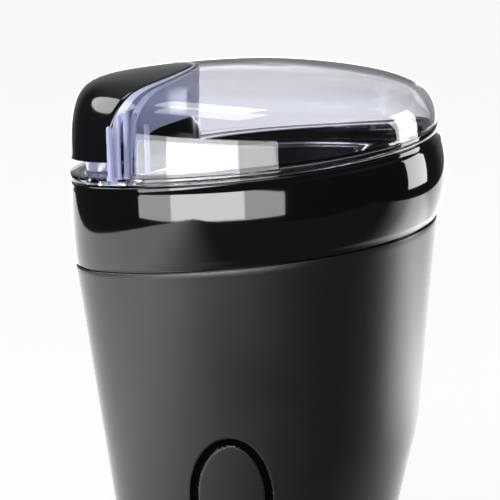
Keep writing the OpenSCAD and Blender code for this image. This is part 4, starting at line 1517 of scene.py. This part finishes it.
@dataclass
class Studio:
    """A pale floor, soft boxes, a plain world and the camera at the photograph's angle."""

    turn: float = radians(-4.3)
    height: float = radians(10.85)
    roll: float = radians(-1.7)
    distance: float = 1000.0
    focal: float = 225.9
    sensor: float = 36.0
    clip: tuple[float, float] = (0.05, 30.0)
    aim_right: float = -1.21  # the picture's middle, from the lid seam's middle
    aim_up: float = -31.53
    lamp_aim: Point = (0.0, 0.0, 0.11)  # what the soft boxes face
    table: float = 6000.0  # how far the table top reaches behind the grinder
    edge: float = 500.0  # how far it reaches in front and to the sides
    drop: float = 0.3  # how far it lies under the feet
    # The surroundings, as bright as reflections and as matt surfaces find them.
    front: tuple[float, float] = (0.05, 0.2)
    back: tuple[float, float] = (0.35, 1.0)
    back_span: tuple[float, float] = (0.6, 0.95)  # where, on the way back, front turns to back
    overhead: float = 0.5
    overhead_span: tuple[float, float] = (0.5, 0.95)  # the same on the way up
    backdrop: float = 0.955  # as bright as the table, so that no horizon shows
    # The table: its own grey, its share and its light where the eye sees it.
    paper: float = 0.22
    paper_seen: float = 0.72
    paper_light: float = 1.25
    # The table in reflections: dark at the front, lit from the left and from behind.
    dark_glossy: float = 0.12
    floor_glossy: float = 2.8
    left_slope: float = -1.0  # how soon the light reaches forward on either side
    right_slope: float = 0.45
    lit_span: tuple[float, float] = (-0.08, 0.14)
    # Its bright right end: from where along X, and how far to either side along Y.
    right_glossy: float = 2.5
    right_span: tuple[float, float] = (0.09, 0.2)
    right_middle: float = 0.04
    right_reach: tuple[float, float] = (0.14, 0.04)

    BOXES = (
        SoftBox("left panel", -38, -3, 0.9, 0.96, 0.24, 5.0),
        SoftBox("left panel, middle", -40, -3, 0.89, 0.42, 0.22, 2.2),
        SoftBox("left wall", -94, 29, 1.0, 0.66, 0.5, 6.4, LampShape.ROUND),
        SoftBox("right box", 94, 10, 0.9, 0.42, 0.55, 7.0),
        SoftBox("upper left box", -48, 56, 0.9, 0.5, 0.4, 4.5),
    )

    def _camera(self) -> None:
        """Places the camera."""
        seam = Vector((0.0, 0.0, FORM.lid_seam_z))
        back = Vector((
            sin(self.turn) * cos(self.height), -cos(self.turn) * cos(self.height),
            sin(self.height),
        ))
        level = Vector((cos(self.turn), sin(self.turn), 0.0))
        upright = back.cross(level)
        right = level * cos(self.roll) + upright * sin(self.roll)
        up = upright * cos(self.roll) - level * sin(self.roll)
        eye = INTO_FRAME @ (seam + back * self.distance)
        aim = INTO_FRAME @ (seam + right * self.aim_right + up * self.aim_up)
        z_axis = (eye - aim).normalized()
        x_axis = up.cross(z_axis).normalized()
        turn = Matrix((x_axis, z_axis.cross(x_axis), z_axis)).transposed()
        lens = bpy.data.cameras.new("photo camera")
        lens.lens, lens.sensor_width = self.focal, self.sensor
        lens.clip_start, lens.clip_end = self.clip
        holder = bpy.data.objects.new("photo camera", lens)
        holder.matrix_world = Matrix.Translation(eye) @ turn.to_4x4()
        bpy.context.scene.collection.objects.link(holder)
        bpy.context.scene.camera = holder

    def _seen(
        self, tree: bpy.types.NodeTree, path: bpy.types.NodeOutputs
    ) -> bpy.types.NodeSocket:
        """Tells what is seen straight, or through clear pieces only.

        Args:
            tree: the node tree that gets the nodes.
            path: the outputs of its light path node.

        Returns:
            1 where the eye looks on directly, 0 by way of any reflection.
        """
        straight = add(
            tree, "Math", {0: path["Is Camera Ray"], 1: path["Is Transmission Ray"]},
            operation="MAXIMUM",
        )[0]
        feeds = {0: straight, 1: path["Glossy Depth"]}
        return add(tree, "Math", feeds, operation="GREATER_THAN")[0]

    def _world(self) -> None:
        """Makes the surroundings: white to the camera and behind, dim in front."""
        world = bpy.data.worlds.new("studio")
        tree = empty_tree(world)
        path = add(tree, "LightPath")
        place = add(tree, "SeparateXYZ", {0: add(tree, "TexCoord")["Generated"]})
        behind = add(
            tree, "MapRange", {
                "Value": place[1], "From Min": self.back_span[0], "From Max": self.back_span[1],
            }, interpolation_type="SMOOTHSTEP",
        )[0]
        dim, bright = (
            add(tree, "Mix", {"Factor": path["Is Diffuse Ray"], 2: glossy, 3: matt})[0]
            for glossy, matt in (self.front, self.back)
        )
        level = add(tree, "Mix", {"Factor": behind, 2: dim, 3: bright})[0]
        overhead = add(tree, "MapRange", {
            "Value": place[2],
            "From Min": self.overhead_span[0],
            "From Max": self.overhead_span[1],
            "To Max": self.overhead,
        })[0]
        lit = add(tree, "Math", {0: level, 1: overhead}, operation="ADD")[0]
        strength = add(
            tree, "Mix", {"Factor": self._seen(tree, path), 2: lit, 3: self.backdrop}
        )[0]
        light = add(tree, "Background", {"Color": WHITE, "Strength": strength})[0]
        add(tree, "OutputWorld", {"Surface": light})
        bpy.context.scene.world = world

    def _mirrored(self, tree: bpy.types.NodeTree) -> bpy.types.NodeSocket:
        """Makes the table's light as reflections show it.

        Args:
            tree: the table's node tree.

        Returns:
            The light's strength.
        """
        place = add(tree, "SeparateXYZ", {0: add(tree, "TexCoord")["Object"]})
        lit = place[1]
        for side, slope in (("MINIMUM", self.left_slope), ("MAXIMUM", self.right_slope)):
            beside = add(tree, "Math", {0: place[0], 1: 0.0}, operation=side)[0]
            lit = add(tree, "Math", {0: beside, 1: slope, 2: lit}, operation="MULTIPLY_ADD")[0]
        away = add(
            tree, "Math", {0: place[1], 1: self.right_middle}, operation="SUBTRACT"
        )[0]
        away = add(tree, "Math", {0: away}, operation="ABSOLUTE")[0]
        behind, right, near = (
            add(
                tree, "MapRange",
                {"Value": value, "From Min": low, "From Max": high, "To Max": top},
                interpolation_type="SMOOTHSTEP",
            )[0]
            for value, (low, high), top in (
                (lit, self.lit_span, 1.0),
                (place[0], self.right_span, 1.0),
                (away, self.right_reach, self.right_glossy),
            )
        )
        plain = add(
            tree, "Mix", {"Factor": behind, 2: self.dark_glossy, 3: self.floor_glossy}
        )[0]
        return add(tree, "Math", {0: right, 1: near, 2: plain}, operation="MULTIPLY_ADD")[0]

    def _floor(self) -> None:
        """Makes the table top: white to the camera, with the grinder's shadow kept."""
        mesh = bmesh.new()
        bmesh.ops.create_grid(mesh, x_segments=4, y_segments=4, size=self.edge)
        bmesh.ops.translate(mesh, verts=mesh.verts, vec=(0, 0, -self.drop))
        for corner in mesh.verts:
            if corner.co.y > 0:
                corner.co.y *= self.table / self.edge
        floor = as_object("floor", mesh)
        made = bpy.data.materials.new("paper, white")
        tree = empty_tree(made)
        path = add(tree, "LightPath")
        matt = add(tree, "BsdfDiffuse", {"Color": (*(self.paper,) * 3, 1.0)})[0]
        # What reaches the eye by any reflection, except by way of a matt surface.
        feeds = {0: path["Glossy Depth"], 1: path["Is Diffuse Ray"]}
        reflected = add(tree, "Math", feeds, operation="GREATER_THAN")[0]
        strength = add(tree, "Mix", {
            "Factor": reflected, 2: self.paper_light, 3: self._mirrored(tree),
        })[0]
        glow = add(tree, "Emission", {"Color": WHITE, "Strength": strength})[0]
        share = add(
            tree, "Math", {0: self._seen(tree, path), 1: self.paper_seen, 2: reflected},
            operation="MULTIPLY_ADD", use_clamp=True,
        )[0]
        surface = add(tree, "MixShader", {0: share, 1: matt, 2: glow})[0]
        add(tree, "OutputMaterial", {"Surface": surface})
        floor.data.materials.append(made)

    def build(self) -> None:
        """Builds the studio."""
        self._camera()
        self._world()
        self._floor()
        for box in self.BOXES:
            box.build(Vector(self.lamp_aim))
        bpy.context.scene.view_settings.view_transform = "Standard"


def dress_cad_nodes() -> None:
    """Gives each CAD node that stays in view its finish."""
    for finish, names in CAD_FINISHES.items():
        for name in names:
            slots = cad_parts[name].data.materials
            slots.clear()
            slots.append(finish.material())


def main() -> None:
    """Builds every sub-assembly and the studio."""
    logging.basicConfig(level=logging.INFO, format="%(name)s %(message)s")
    Studio().build()
    dress_cad_nodes()
    for part in (Housing(), Collar(), Lid(), Button(), Springs()):
        part.build()
        LOG.info("%s done", type(part).__name__)


if __name__ == "__main__":
    main()
